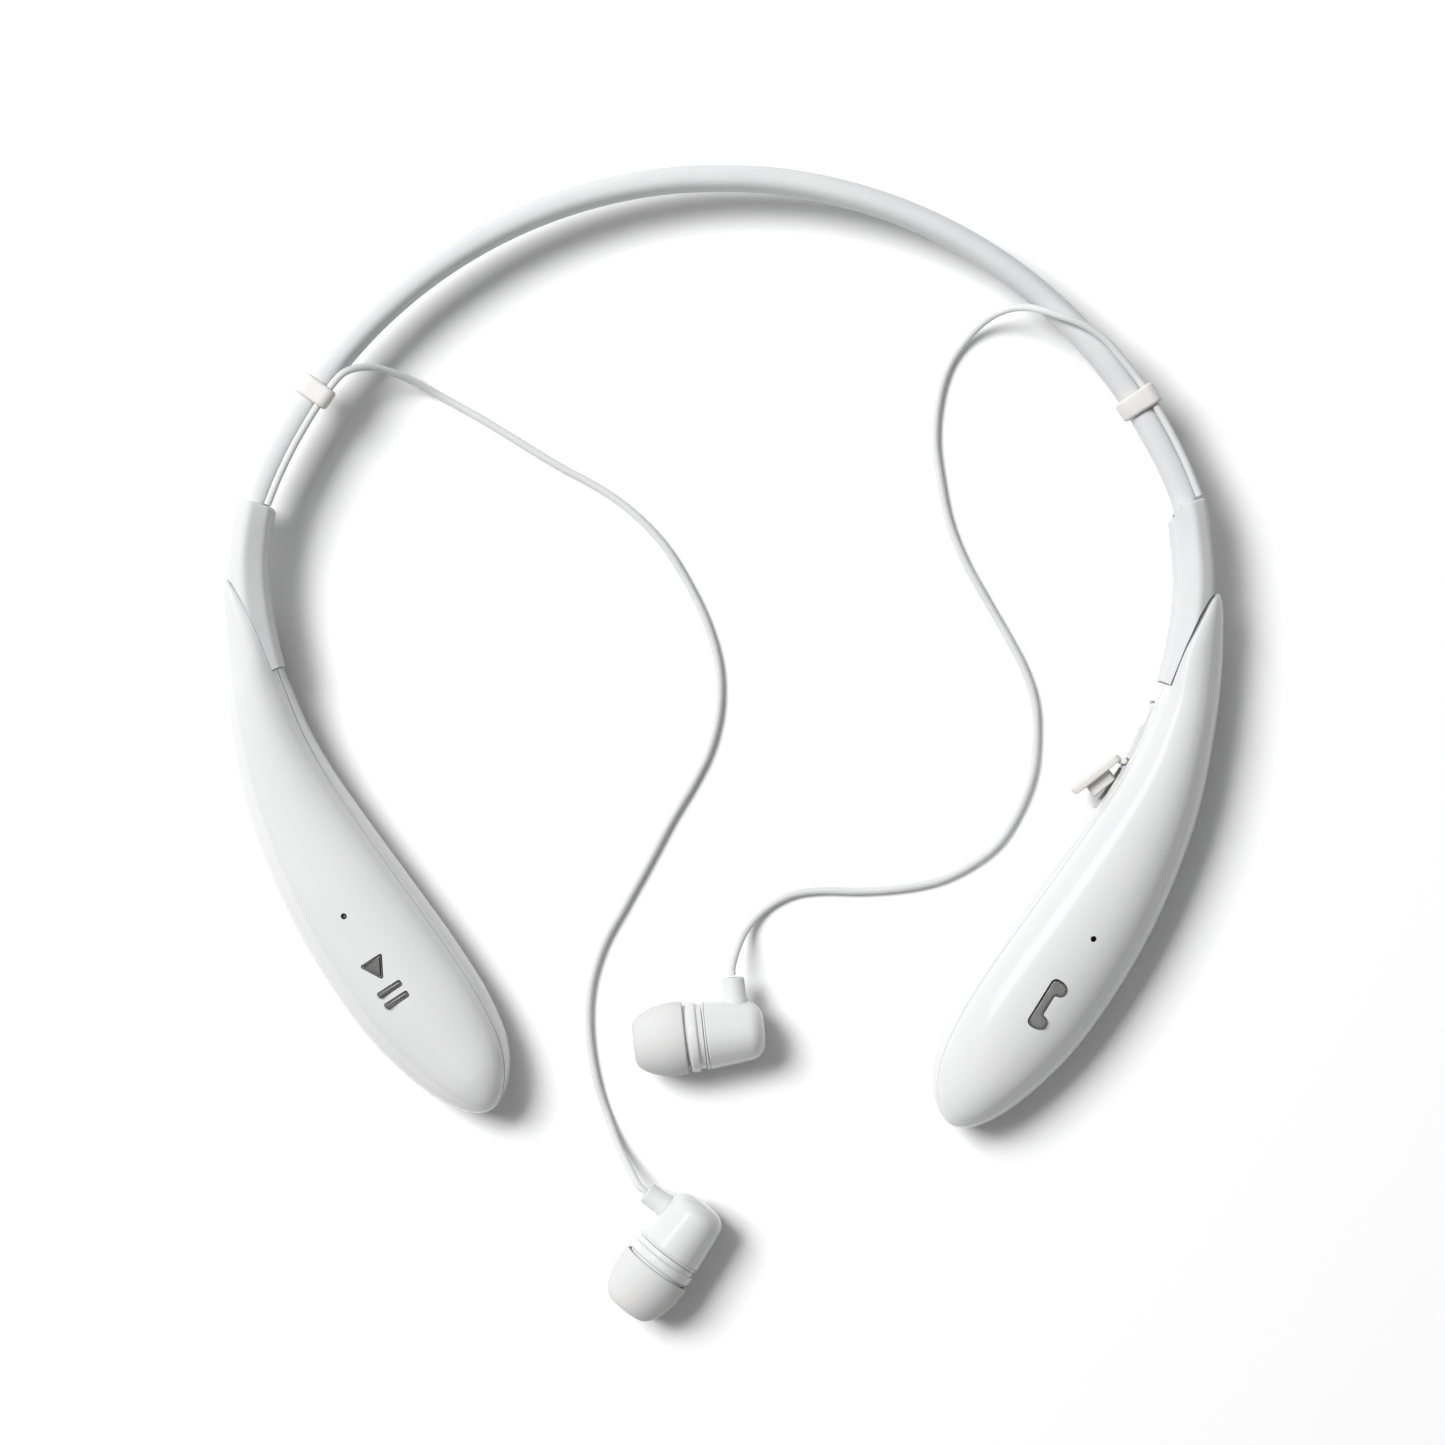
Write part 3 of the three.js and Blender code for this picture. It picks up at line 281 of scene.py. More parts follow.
def material_of(name, color, roughness, **sockets):
    """A Principled material with plain values on its sockets; nodes for its detail are added to it."""
    material = bpy.data.materials.new(name)
    material.use_nodes = True
    shader = material.node_tree.nodes["Principled BSDF"]
    shader.inputs["Base Color"].default_value = (*color, 1)
    shader.inputs["Roughness"].default_value = roughness
    for socket, value in sockets.items():
        shader.inputs[socket.replace("_", " ")].default_value = value
    return material


def noise_node(material, scale, detail=2.0, stretch=(1, 1, 1)):
    nodes, links = material.node_tree.nodes, material.node_tree.links
    coordinates = nodes.new("ShaderNodeTexCoord")
    mapping = nodes.new("ShaderNodeMapping")
    mapping.inputs["Scale"].default_value = stretch
    noise = nodes.new("ShaderNodeTexNoise")
    noise.inputs["Scale"].default_value = scale
    noise.inputs["Detail"].default_value = detail
    links.new(coordinates.outputs["Object"], mapping.inputs["Vector"])
    links.new(mapping.outputs["Vector"], noise.inputs["Vector"])
    return noise


def ranged(material, source, low, high):
    """Turns a 0 to 1 noise into low to high."""
    node = material.node_tree.nodes.new("ShaderNodeMapRange")
    node.inputs["From Min"].default_value = 0.3
    node.inputs["From Max"].default_value = 0.7
    node.inputs["To Min"].default_value = low
    node.inputs["To Max"].default_value = high
    material.node_tree.links.new(source, node.inputs["Value"])
    return node.outputs["Result"]


def vary_color(material, first, second, scale):
    """Slow, faint clouds of tone, as in moulded plastic."""
    nodes, links = material.node_tree.nodes, material.node_tree.links
    noise = noise_node(material, scale)
    mix = nodes.new("ShaderNodeMix")
    mix.data_type = "RGBA"
    mix.inputs[6].default_value = (*first, 1)
    mix.inputs[7].default_value = (*second, 1)
    links.new(ranged(material, noise.outputs["Fac"], 0, 1), mix.inputs[0])
    links.new(mix.outputs[2], nodes["Principled BSDF"].inputs["Base Color"])


def vary_roughness(material, low, high, scale, stretch=(1, 1, 1)):
    nodes, links = material.node_tree.nodes, material.node_tree.links
    noise = noise_node(material, scale, 3.0, stretch)
    links.new(ranged(material, noise.outputs["Fac"], low, high), nodes["Principled BSDF"].inputs["Roughness"])


def add_bump(material, scale, depth_mm, detail=2.0, stretch=(1, 1, 1)):
    """Grain of the given depth; scale is in features per metre."""
    nodes, links = material.node_tree.nodes, material.node_tree.links
    noise = noise_node(material, scale, detail, stretch)
    bump = nodes.new("ShaderNodeBump")
    bump.inputs["Strength"].default_value = 1.0
    bump.inputs["Distance"].default_value = depth_mm * MM
    links.new(noise.outputs["Fac"], bump.inputs["Height"])
    links.new(bump.outputs["Normal"], nodes["Principled BSDF"].inputs["Normal"])


def make_materials():
    made = {}
    gloss = material_of("gloss_white", (0.675, 0.677, 0.681), 0.14, Coat_Weight=0.4, Coat_Roughness=0.05)
    vary_color(gloss, (0.67, 0.672, 0.677), (0.69, 0.691, 0.694), 60)
    vary_roughness(gloss, 0.11, 0.19, 500)
    add_bump(gloss, 900, 0.0012, 1.0)
    made["gloss_white"] = gloss

    satin = material_of("satin_white", (0.645, 0.648, 0.654), 0.45)
    vary_color(satin, (0.63, 0.633, 0.64), (0.66, 0.662, 0.667), 90)
    vary_roughness(satin, 0.4, 0.52, 800)
    add_bump(satin, 4500, 0.006, 3.0)
    made["satin_white"] = satin

    soft = material_of("soft_white", (0.66, 0.663, 0.665), 0.5, Sheen_Weight=0.1)
    vary_color(soft, (0.64, 0.643, 0.645), (0.675, 0.678, 0.68), 150)
    vary_roughness(soft, 0.42, 0.58, 1200)
    add_bump(soft, 6000, 0.005, 3.0)
    made["soft_white"] = soft

    warm = material_of(
        "warm_white", (0.70, 0.685, 0.655), 0.5, Subsurface_Weight=0.15, Subsurface_Scale=0.0008
    )
    vary_color(warm, (0.68, 0.665, 0.635), (0.72, 0.705, 0.68), 200)
    vary_roughness(warm, 0.42, 0.58, 900)
    add_bump(warm, 5000, 0.006, 3.0)
    made["warm_white"] = warm

    silicone = material_of(
        "silicone", (0.63, 0.63, 0.63), 0.55,
        Subsurface_Weight=0.15, Subsurface_Scale=0.0008, Sheen_Weight=0.1,
    )
    vary_color(silicone, (0.62, 0.622, 0.622), (0.645, 0.645, 0.643), 120)
    vary_roughness(silicone, 0.5, 0.64, 700)
    add_bump(silicone, 3500, 0.004, 3.0)
    made["silicone"] = silicone

    sign = material_of("dark_metal", (0.50, 0.495, 0.49), 0.28, Metallic=1.0)
    vary_color(sign, (0.46, 0.455, 0.45), (0.54, 0.535, 0.53), 500)
    vary_roughness(sign, 0.2, 0.4, 2500, (1, 8, 1))
    add_bump(sign, 9000, 0.003, 2.0, (1, 10, 1))
    made["dark_metal"] = sign

    steel = material_of("steel", (0.62, 0.62, 0.63), 0.3, Metallic=1.0)
    vary_color(steel, (0.56, 0.56, 0.57), (0.68, 0.68, 0.69), 400)
    vary_roughness(steel, 0.22, 0.42, 1500, (1, 1, 8))
    add_bump(steel, 7000, 0.002, 2.0)
    made["steel"] = steel

    board = material_of("board_green", (0.02, 0.13, 0.06), 0.4, Coat_Weight=0.4)
    vary_color(board, (0.015, 0.11, 0.045), (0.03, 0.16, 0.08), 900)
    vary_roughness(board, 0.3, 0.5, 2000)
    add_bump(board, 2500, 0.01, 1.0)
    made["board_green"] = board

    black = material_of("black_plastic", (0.02, 0.02, 0.022), 0.45)
    vary_color(black, (0.016, 0.016, 0.018), (0.03, 0.03, 0.032), 700)
    vary_roughness(black, 0.38, 0.55, 1500)
    add_bump(black, 5000, 0.006, 3.0)
    made["black_plastic"] = black

    foil = material_of("foil", (0.62, 0.63, 0.65), 0.35, Metallic=0.8)
    vary_color(foil, (0.56, 0.57, 0.59), (0.68, 0.69, 0.71), 300)
    vary_roughness(foil, 0.28, 0.45, 500)
    add_bump(foil, 400, 0.05, 4.0)
    made["foil"] = foil

    clear = material_of("clear_plastic", (0.85, 0.87, 0.88), 0.1, Transmission_Weight=0.8, IOR=1.49)
    vary_roughness(clear, 0.06, 0.18, 1500)
    add_bump(clear, 3000, 0.002, 1.0)
    made["clear_plastic"] = clear
    return made


MATERIALS = make_materials()

for cord_side in SIDES:
    cord_piece(cord_side, MATERIALS["soft_white"])

# ---------------------------------------------------------------- mesh tools


def made_object(name, vertices, faces):
    mesh = bpy.data.meshes.new(name)
    mesh.from_pydata([tuple(map(float, v)) for v in vertices], [], faces)
    shape = bmesh.new()
    shape.from_mesh(mesh)
    bmesh.ops.remove_doubles(shape, verts=shape.verts, dist=1e-5)
    bmesh.ops.recalc_face_normals(shape, faces=shape.faces)
    shape.to_mesh(mesh)
    shape.free()
    piece = bpy.data.objects.new(name, mesh)
    bpy.context.scene.collection.objects.link(piece)
    return piece


def lofted(name, rings, looped=False):
    """A closed body through rings of equal count: capped at both ends, or joined end to end if looped."""
    count = len(rings[0])
    vertices = np.vstack(rings)
    faces = []
    spans = len(rings) if looped else len(rings) - 1
    for i in range(spans):
        a, b = i * count, ((i + 1) % len(rings)) * count
        for j in range(count):
            k = (j + 1) % count
            faces.append((a + j, a + k, b + k, b + j))
    if not looped:
        faces.append(tuple(range(count)))
        faces.append(tuple(range((len(rings) - 1) * count, len(rings) * count)))
    return made_object(name, vertices, faces)


ON_AXIS = 0.0001  # a hair off the axis, so that every ring of a turned body keeps its points


def turned(name, profile, sides=96):
    """A body turned about the x axis from a closed [x, radius] outline."""
    profile = np.asarray(profile, float)
    rings = []
    for angle in np.linspace(0, 2 * math.pi, sides, endpoint=False):
        x, r = profile[:, 0], profile[:, 1]
        rings.append(np.stack([x, r * math.cos(angle), r * math.sin(angle)], axis=1))
    return lofted(name, rings, looped=True)


def rounded_outline(points, radius, steps=5):
    """Each corner of a polygon is replaced by an arc-like curve that starts radius before it."""
    points = np.asarray(points, float)
    out = []
    for i, corner in enumerate(points):
        before, after = points[i - 1] - corner, points[(i + 1) % len(points)] - corner
        reach_a = min(radius, 0.45 * np.linalg.norm(before))
        reach_b = min(radius, 0.45 * np.linalg.norm(after))
        a = corner + before / np.linalg.norm(before) * reach_a
        b = corner + after / np.linalg.norm(after) * reach_b
        for t in np.linspace(0, 1, steps):
            out.append((1 - t) ** 2 * a + 2 * t * (1 - t) * corner + t**2 * b)
    return np.array(out)


def inset(outline, by):
    """An outline moved inwards by a distance."""
    area = np.sum(outline[:, 0] * np.roll(outline[:, 1], -1) - np.roll(outline[:, 0], -1) * outline[:, 1])
    before = outline - np.roll(outline, 1, axis=0)
    after = np.roll(outline, -1, axis=0) - outline
    inward = []
    for edge in (before, after):
        edge = edge / np.maximum(np.linalg.norm(edge, axis=1), 1e-9)[:, None]
        inward.append(np.stack([-edge[:, 1], edge[:, 0]], axis=1) * np.sign(area))
    miter = inward[0] + inward[1]
    return outline + miter * (2 * by / np.maximum((miter**2).sum(1), 0.8))[:, None]


def soft_prism(name, outline, bottom, top, edge):
    """An upright body on an outline, its upper and lower edges rounded by edge."""
    rings = []
    turns = np.linspace(0, math.pi / 2, 5)
    for turn in turns:
        rings.append((inset(outline, edge * (1 - math.sin(turn))), bottom + edge * (1 - math.cos(turn))))
    for turn in turns[::-1]:
        rings.append((inset(outline, edge * (1 - math.sin(turn))), top - edge * (1 - math.cos(turn))))
    layers = [np.column_stack([plan, np.full(len(plan), z)]) for plan, z in rings]
    return lofted(name, layers)


def plain_prism(name, outline, bottom, top):
    outline = np.asarray(outline, float)
    return lofted(name, [np.column_stack([outline, np.full(len(outline), z)]) for z in (bottom, top)])


def circle(radius, x, y, sides=48):
    angle = np.linspace(0, 2 * math.pi, sides, endpoint=False)
    return np.stack([x + radius * np.cos(angle), y + radius * np.sin(angle)], axis=1)


def combine(piece, tool, operation="DIFFERENCE"):
    """Cuts, joins or crosses piece with tool, which is used up."""
    modifier = piece.modifiers.new("combine", "BOOLEAN")
    modifier.object = tool
    modifier.operation = operation
    modifier.solver = "EXACT"
    graph = bpy.context.evaluated_depsgraph_get()
    mesh = bpy.data.meshes.new_from_object(piece.evaluated_get(graph))
    piece.modifiers.clear()
    piece.data = mesh
    bpy.data.objects.remove(tool)


def placed(piece, matrix):
    piece.data.transform(matrix)
    if matrix.determinant() < 0:
        piece.data.flip_normals()
    return piece


def settled(piece, body, slot, nodes, sharp=32):
    """Turns a finished shape into metres, gives it its smoothing, material and body, and hides the CAD nodes
    it stands in for.
    """
    piece.data.transform(Matrix.Scale(MM, 4))
    for face in piece.data.polygons:
        face.use_smooth = True
    piece.data.set_sharp_from_angle(angle=math.radians(sharp))
    piece.data.materials.clear()
    piece.data.materials.append(MATERIALS[slot])
    if body:
        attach(piece, body)
    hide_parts(*nodes)


# ---------------------------------------------------------------- the band


def make_band():
    """One sleeve from collar to collar, running across the place where the two arms are hinged."""
    section = oval(BAND_WIDTH, BAND_HEIGHT, 44)
    from_hinge = np.linspace(HINGE_AT, BAND_END, 110)
    right = rings_along("right", from_hinge[::-1], [section] * len(from_hinge))
    left = rings_along("left", from_hinge[1:], [section] * (len(from_hinge) - 1))
    band = lofted("band_sleeve", [*right, *left])
    settled(band, None, "satin_white", ("left_band_sleeve", "right_band_sleeve"), 60)
    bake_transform(band)


make_band()

# ---------------------------------------------------------------- pods


def pod_place(side):
    sign = SIDES[side]
    turn = math.pi + math.radians(POD_ANGLE) if sign > 0 else -math.radians(POD_ANGLE)
    place = Matrix.Translation((sign * POD_TIP[0], POD_TIP[1] + POD_DROP[side], 0))
    mirror = Matrix.Diagonal((1, -sign, 1, 1))
    return place @ Matrix.Rotation(turn, 4, "Z") @ mirror


def edge_pair(first, second, start, end):
    """Two edges that meet smoothly in a round start and a round end, each as a function of s."""
    loop = [start, *first, end, *reversed(second)]
    per_span = 24
    curve = closed_curve(loop, per_span)
    turn = (len(first) + 1) * per_span

    def reader(part):
        places = np.maximum.accumulate(part[:, 0])
        return lambda s: np.interp(s, places, part[:, 1])

    return reader(curve[: turn + 1]), reader(curve[turn:][::-1])


TIP_S = -0.15
END_S = 97.75
TIP_ZONE = 6.1  # the length of pod behind the tip whose rings lie closer together
END_ZONE_FROM = 86
POD_WALL = 1.2
LIP_ROUNDING = 0.16
SHELL_SHARP = 48  # degrees
CUT_FROM = -5  # a tool that cuts a pod from below to above
CUT_TO = 25
INNER_EDGE = (
    (0.5, 0.75), (2.0, 1.3), (5, 1.8), (12, 2.3), (20, 2.0), (28, 1.6), (36, 2.2), (46, 3.8),
    (58, 6.0), (70, 8.1), (80, 9.2), (88, 8.8), (92.6, 7.2), (95.6, 5.1), (97.2, 3.1),
)
OUTER_EDGE = (
    (0.5, -0.95), (2.0, -2.0), (4.5, -3.3), (9, -5.5), (16, -8.3), (26, -11.4), (35, -13.4),
    (47, -14.6), (60, -14.5), (76, -12.3), (86, -9.1), (92.6, -5.7), (95.6, -3.2), (97.2, -1.0),
)
inner_edge, outer_edge = edge_pair(INNER_EDGE, OUTER_EDGE, (TIP_S, -0.1), (END_S, 1.1))
TOP_EDGE = (
    (0.3, 11.1), (1.5, 12.1), (6, 12.9), (16, 13.5), (40, 14.0), (70, 14.0), (84, 13.4),
    (92.6, 12.3), (96.4, 10.4), (97.5, 8.8),
)
BOTTOM_EDGE = (
    (0.3, 7.3), (1.5, 6.1), (5, 4.5), (10, 2.8), (17, 1.0), (22, 0.2), (27, 0.0), (50, 0.0),
    (84, 0.0), (89, 0.15), (92.6, 0.8), (96.4, 3.2), (97.5, 5.2),
)
top_edge, bottom_edge = edge_pair(TOP_EDGE, BOTTOM_EDGE, (TIP_S, 9.2), (END_S, 7.0))

POD_SECTION = (
    (0.0, 0.42), (0.065, 0.73), (0.15, 0.87), (0.3, 0.965), (0.46, 1.0), (0.63, 0.98),
    (0.78, 0.905), (0.9, 0.77), (0.975, 0.6), (1.0, 0.44), (0.98, 0.26), (0.92, 0.11), (0.8, 0.0),
    (0.22, 0.0), (0.1, 0.06), (0.03, 0.2),
)
PER_SPAN = 16
WHOLE_SECTION = closed_curve(POD_SECTION, PER_SPAN)
SEAM_INSIDE = 1 * PER_SPAN  # the parting line runs through the section's second and tenth points
SEAM_OUTSIDE = 9 * PER_SPAN
UPPER_SECTION = WHOLE_SECTION[SEAM_INSIDE : SEAM_OUTSIDE + 1]
LOWER_SECTION = np.vstack([WHOLE_SECTION[SEAM_OUTSIDE:-1], WHOLE_SECTION[: SEAM_INSIDE + 1]])
SEAM_WIDTH = 0.16


def pod_stations():
    tip = TIP_S + 0.02 + TIP_ZONE * np.linspace(0, 1, 18) ** 2
    middle = np.linspace(tip[-1], END_ZONE_FROM, 84)[1:]
    end_zone = END_S - 0.015 - END_ZONE_FROM
    end = END_ZONE_FROM + end_zone * np.sin(np.linspace(0, math.pi / 2, 44))[1:]
    return np.concatenate([tip, middle, end])


def lean(s):
    """Near the tip a pod's ridge lies closer to its inner side, beside the collar. 1 means no lean."""
    share = min(max((s - 6) / 14, 0), 1)
    return 1.6 - 0.6 * share * share * (3 - 2 * share)


def shell_ring(section, s):
    """One ring of a shell at station s: its outside, a rounded edge, its inside and another edge."""
    inner, outer = inner_edge(s), outer_edge(s)
    bottom, top = bottom_edge(s), top_edge(s)
    across = np.clip(section[:, 0], 0, None) ** lean(s)
    path = np.stack([inner + (outer - inner) * across, bottom + (top - bottom) * section[:, 1]], axis=1)
    path[:, 1] = np.maximum(path[:, 1], 0)
    total = lengths(path)[-1]
    edge = min(LIP_ROUNDING, 0.12 * total)
    wall = min(POD_WALL, 0.16 * total)
    trim = min(SEAM_WIDTH / 2, 0.05 * total)
    outside = resampled(path, np.linspace(trim + edge, total - trim - edge, 72))
    lip_places = resampled(path, [trim, total - trim])
    # 73 directions along the path: every third one serves a point of the inside
    tangent = np.gradient(resampled(path, np.linspace(0, total, 73)), axis=0)
    normal = np.stack([-tangent[:, 1], tangent[:, 0]], axis=1)
    normal /= np.maximum(np.linalg.norm(normal, axis=1), 1e-9)[:, None]
    middle = np.array([(inner + outer) / 2, (bottom + top) / 2])
    if np.dot(normal[36], middle - path[len(path) // 2]) < 0:
        normal = -normal
    inside = resampled(path, np.linspace(trim, total - trim, 25)) + normal[::3] * wall
    ring = list(outside)
    for lip, unit, direction in ((lip_places[1], normal[-1], 1), (lip_places[0], normal[0], -1)):
        turned_in = []
        along = tangent[-1] if direction > 0 else -tangent[0]
        along = along / max(np.linalg.norm(along), 1e-9)
        for turn in (math.pi / 6, math.pi / 3, math.pi / 2):
            turned_in.append(lip - along * edge * (1 - math.sin(turn)) + unit * edge * (1 - math.cos(turn)))
        if direction > 0:
            ring += turned_in
            ring += list(inside[::-1])
        else:
            ring += turned_in[::-1]
    return np.array([(s, n, z) for n, z in ring])


def shell(name, section):
    return lofted(name, [shell_ring(section, s) for s in pod_stations()])


def notch_outline(grow):
    """The plan area beside the pod's tip that belongs to the collar."""
    tip, end = -0.7 + grow, COLLAR_NOTCH_END + grow
    edge = [(s, n - grow) for s, n in ((1.5, 1.1), (5, 1.45), (10.4, 1.3), (end, 0.8))]
    return [(tip, -14), (tip, 0.2 - grow), *edge, (end, 12), (-45, 12), (-45, -14)]


NOTCH_ROOM = 0.07  # between a pod's shells and the outline of the collar's notch
TOP_CUT_FROM = 9  # a tool that cuts only the top of a pod
BOSSES = ((28.5, -6.2), (90.2, 1.2))
BOSS_RADIUS = 2.7
BOSS_TOP = 4.6
COUNTERBORE_RADIUS = 1.8
KEYS = {
    "left": {"name": "play_pause_key", "at": (70.7, -4.6), "turn": 7},
    "right": {"name": "call_key", "at": (72.8, -3.7), "turn": 6},
}
WINDOW_AT = {"left": (58.4, -5.9), "right": (59.9, -5.8)}
WINDOW_RADIUS = 0.5
SIGN_PLATE = (10.4, 5.0)
SIGN_PLATE_LOW = 10.1
SIGN_PLATE_HIGH = 11.1
SIGN_FOOT = 10.6
SIGN_RISE = 0.25  # above the pod's ridge
SIGN_EDGE = 0.3
SIGN_GAP = 0.18


def quadratic(start, control, end, steps=6):
    t = np.linspace(0, 1, steps)[1:, None]
    a, b, c = (np.array(p, float) for p in (start, control, end))
    return (1 - t) ** 2 * a + 2 * t * (1 - t) * b + t**2 * c


def handset_outline():
    half = [(0, 1.3), (3.5, 1.3)]
    half += list(quadratic((3.5, 1.3), (4.3, 1.2), (4.3, 0.3)))
    half += list(quadratic((4.3, 0.3), (4.3, -1.5), (3.2, -1.5)))
    half += list(quadratic((3.2, -1.5), (2.1, -1.5), (2.1, -0.7)))
    half += list(quadratic((2.1, -0.7), (2.0, -0.1), (1.5, -0.1)))
    half.append((0, -0.1))
    other = [(-x, y) for x, y in half[1:-1]]
    return np.array([*half, *other[::-1]], float)


def sign_outlines(side):
    """The raised signs on a key, drawn about the key's middle with x along the pod."""
    if side == "right":
        return [handset_outline()]
    triangle = [(-3.9, -1.95), (-0.5, 0), (-3.9, 1.95)]
    bars = [[(x - 0.4, -2.1), (x + 0.4, -2.1), (x + 0.4, 2.1), (x - 0.4, 2.1)] for x in (1.7, 3.8)]
    return [rounded_outline(triangle, 0.3), *(rounded_outline(bar, 0.25) for bar in bars)]


def on_key(side, outline):
    key = KEYS[side]
    angle = math.radians(key["turn"])
    turn = np.array([[math.cos(angle), math.sin(angle)], [-math.sin(angle), math.cos(angle)]])
    return outline @ turn + np.array(key["at"])


def make_upper_shell(side):
    upper = shell(f"{side}_top_cover", UPPER_SECTION)
    combine(upper, plain_prism("tool", notch_outline(NOTCH_ROOM), CUT_FROM, CUT_TO))
    for outline in sign_outlines(side):
        hole = on_key(side, inset(outline, -SIGN_GAP))
        combine(upper, plain_prism("tool", hole, TOP_CUT_FROM, CUT_TO))
    s, n = WINDOW_AT[side]
    combine(upper, plain_prism("tool", circle(WINDOW_RADIUS, s, n), TOP_CUT_FROM, CUT_TO))
    placed(upper, pod_place(side))
    settled(upper, f"{side}_arm", "gloss_white", (f"{side}_upper_shell",), SHELL_SHARP)


def make_lower_shell(side):
    lower = shell(f"{side}_bottom_cover", LOWER_SECTION)
    combine(lower, plain_prism("tool", notch_outline(NOTCH_ROOM), CUT_FROM, CUT_TO))
    for s, n in BOSSES:
        seat = plain_prism("seat", circle(BOSS_RADIUS, s, n), bottom_edge(s) + 0.4, BOSS_TOP)
        combine(lower, seat, "UNION")
        combine(lower, plain_prism("tool", circle(COUNTERBORE_RADIUS, s, n), -1, bottom_edge(s) + 2.2))
    if side == "right":
        cut_side_openings(lower)
    placed(lower, pod_place(side))
    settled(lower, f"{side}_arm", "gloss_white", (f"{side}_lower_shell",), SHELL_SHARP)


# ---------------------------------------------------------------- right pod's side: rocker, port and cover

ROCKER_MIDDLE = 25.7
ROCKER_LENGTH = 10.2
ROCKER_HEIGHT = 4.2
ROCKER_BACK = -0.9
COVER_PIVOT = (31.4, 1.77)
COVER_OPEN = 21  # degrees
WALL_TURN = 6  # degrees between the wall at the port and the pod's length
COVER_TURN = WALL_TURN + COVER_OPEN - 1
COVER_START = 0.1  # from the pivot, along the wall
COVER_LENGTH = 9.6
COVER_HEIGHT = 5.0
COVER_THICKNESS = 1.25
PORT_MIDDLE = 5.1  # from the pivot, along the wall
PORT_SLOT = (7.9, 3.0)
PLUG = (4.8, 1.9)
PLUG_DEPTH = 2.4
PIVOT_RADIUS = 0.5


def at_cover(piece, turn):
    """Places a body drawn from the cover's pivot, x along the wall and y out of it, in the pod's frame."""
    move = Matrix.Translation((*COVER_PIVOT, 0)) @ Matrix.Rotation(math.radians(turn), 4, "Z")
    piece.data.transform(move)
    return piece


def upright(piece, y, z):
    """Turns a body drawn in plan so that its plan faces y, and sets it at y and height z."""
    piece.data.transform(Matrix.Translation((0, y, z)) @ Matrix.Rotation(math.radians(90), 4, "X"))
    return piece


def cut_side_openings(lower):
    """The rocker's window, with more room above than below, the port's slot and the cover's groove."""
    window = soft_rectangle(ROCKER_LENGTH + 0.5, ROCKER_HEIGHT + 0.8, 0.7, 48) + (ROCKER_MIDDLE, 0.15)
    combine(lower, upright(plain_prism("tool", window, -3.5, 5.5), 0, SIDE_Z))
    slot = soft_rectangle(*PORT_SLOT, 0.6, 48) + (PORT_MIDDLE, 0)
    combine(lower, at_cover(upright(plain_prism("tool", slot, -2, 2), 0, SIDE_Z), WALL_TURN))
    groove = plain_prism("tool", circle(PIVOT_RADIUS + 0.25, 0, 0), SIDE_Z - 2.3, SIDE_Z + 2.3)
    combine(lower, at_cover(groove, 0))


def make_rocker():
    """In plan the rocker is level at its far end and stands proud at the end next to the cover."""
    start = ROCKER_MIDDLE - ROCKER_LENGTH / 2
    end = start + ROCKER_LENGTH
    face = float(inner_edge(ROCKER_MIDDLE))
    plan = (
        (start, ROCKER_BACK), (end, ROCKER_BACK), (end, face - 0.1), (start + 9.2, face + 0.35),
        (start + 4.4, face + 0.5), (start + 3.6, face + 0.05), (start + 0.8, face + 0.25),
        (start, face - 0.1),
    )
    low = SIDE_Z - ROCKER_HEIGHT / 2
    outline = rounded_outline(plan, 0.35)
    rocker = soft_prism("volume_rocker_cap", outline, low, low + ROCKER_HEIGHT, 0.3)
    placed(rocker, pod_place("right"))
    settled(rocker, "volume_rocker", "gloss_white", ("volume_rocker",))


def make_port_cover():
    """A flap with its plug, and a strap to the barrel that it turns on."""
    outline = soft_rectangle(COVER_LENGTH, COVER_HEIGHT, 1.3, 64)
    plate = soft_prism("port_flap", outline, 0, COVER_THICKNESS, 0.3)
    plate.data.transform(Matrix.Translation((COVER_START + COVER_LENGTH / 2, 0, 0)))
    upright(plate, 0.5 + COVER_THICKNESS, SIDE_Z)
    plug = soft_prism("plug", soft_rectangle(*PLUG, 0.8, 48), 0, PLUG_DEPTH, 0.25)
    plug.data.transform(Matrix.Translation((PORT_MIDDLE, 0, 0)))
    combine(plate, upright(plug, 0.8, SIDE_Z), "UNION")
    low = SIDE_Z - COVER_HEIGHT / 2
    strap = soft_prism("strap", soft_rectangle(0.9, 1.3, 0.3, 32) + (0.3, 0.45), low + 0.9, low + 4.1, 0.2)
    combine(plate, strap, "UNION")
    barrel = soft_prism("barrel", circle(PIVOT_RADIUS, 0, 0, 32), low + 0.6, low + COVER_HEIGHT - 0.6, 0.12)
    combine(plate, barrel, "UNION")
    at_cover(plate, COVER_TURN)
    placed(plate, pod_place("right"))
    settled(plate, "port_cover", "warm_white", ("port_cover",))


def make_keys(side):
    """The raised metal signs on their plate, which lies under the shell."""
    key = KEYS[side]
    surface = float(top_edge(key["at"][0]))
    base = on_key(side, soft_rectangle(*SIGN_PLATE, 1.5, 48))
    plate = soft_prism(f"{key['name']}_signs", base, SIGN_PLATE_LOW, SIGN_PLATE_HIGH, 0.2)
    for outline in sign_outlines(side):
        sign = soft_prism("sign", on_key(side, outline), SIGN_FOOT, surface + SIGN_RISE, SIGN_EDGE)
        combine(plate, sign, "UNION")
    placed(plate, pod_place(side))
    settled(plate, key["name"], "dark_metal", (key["name"],))


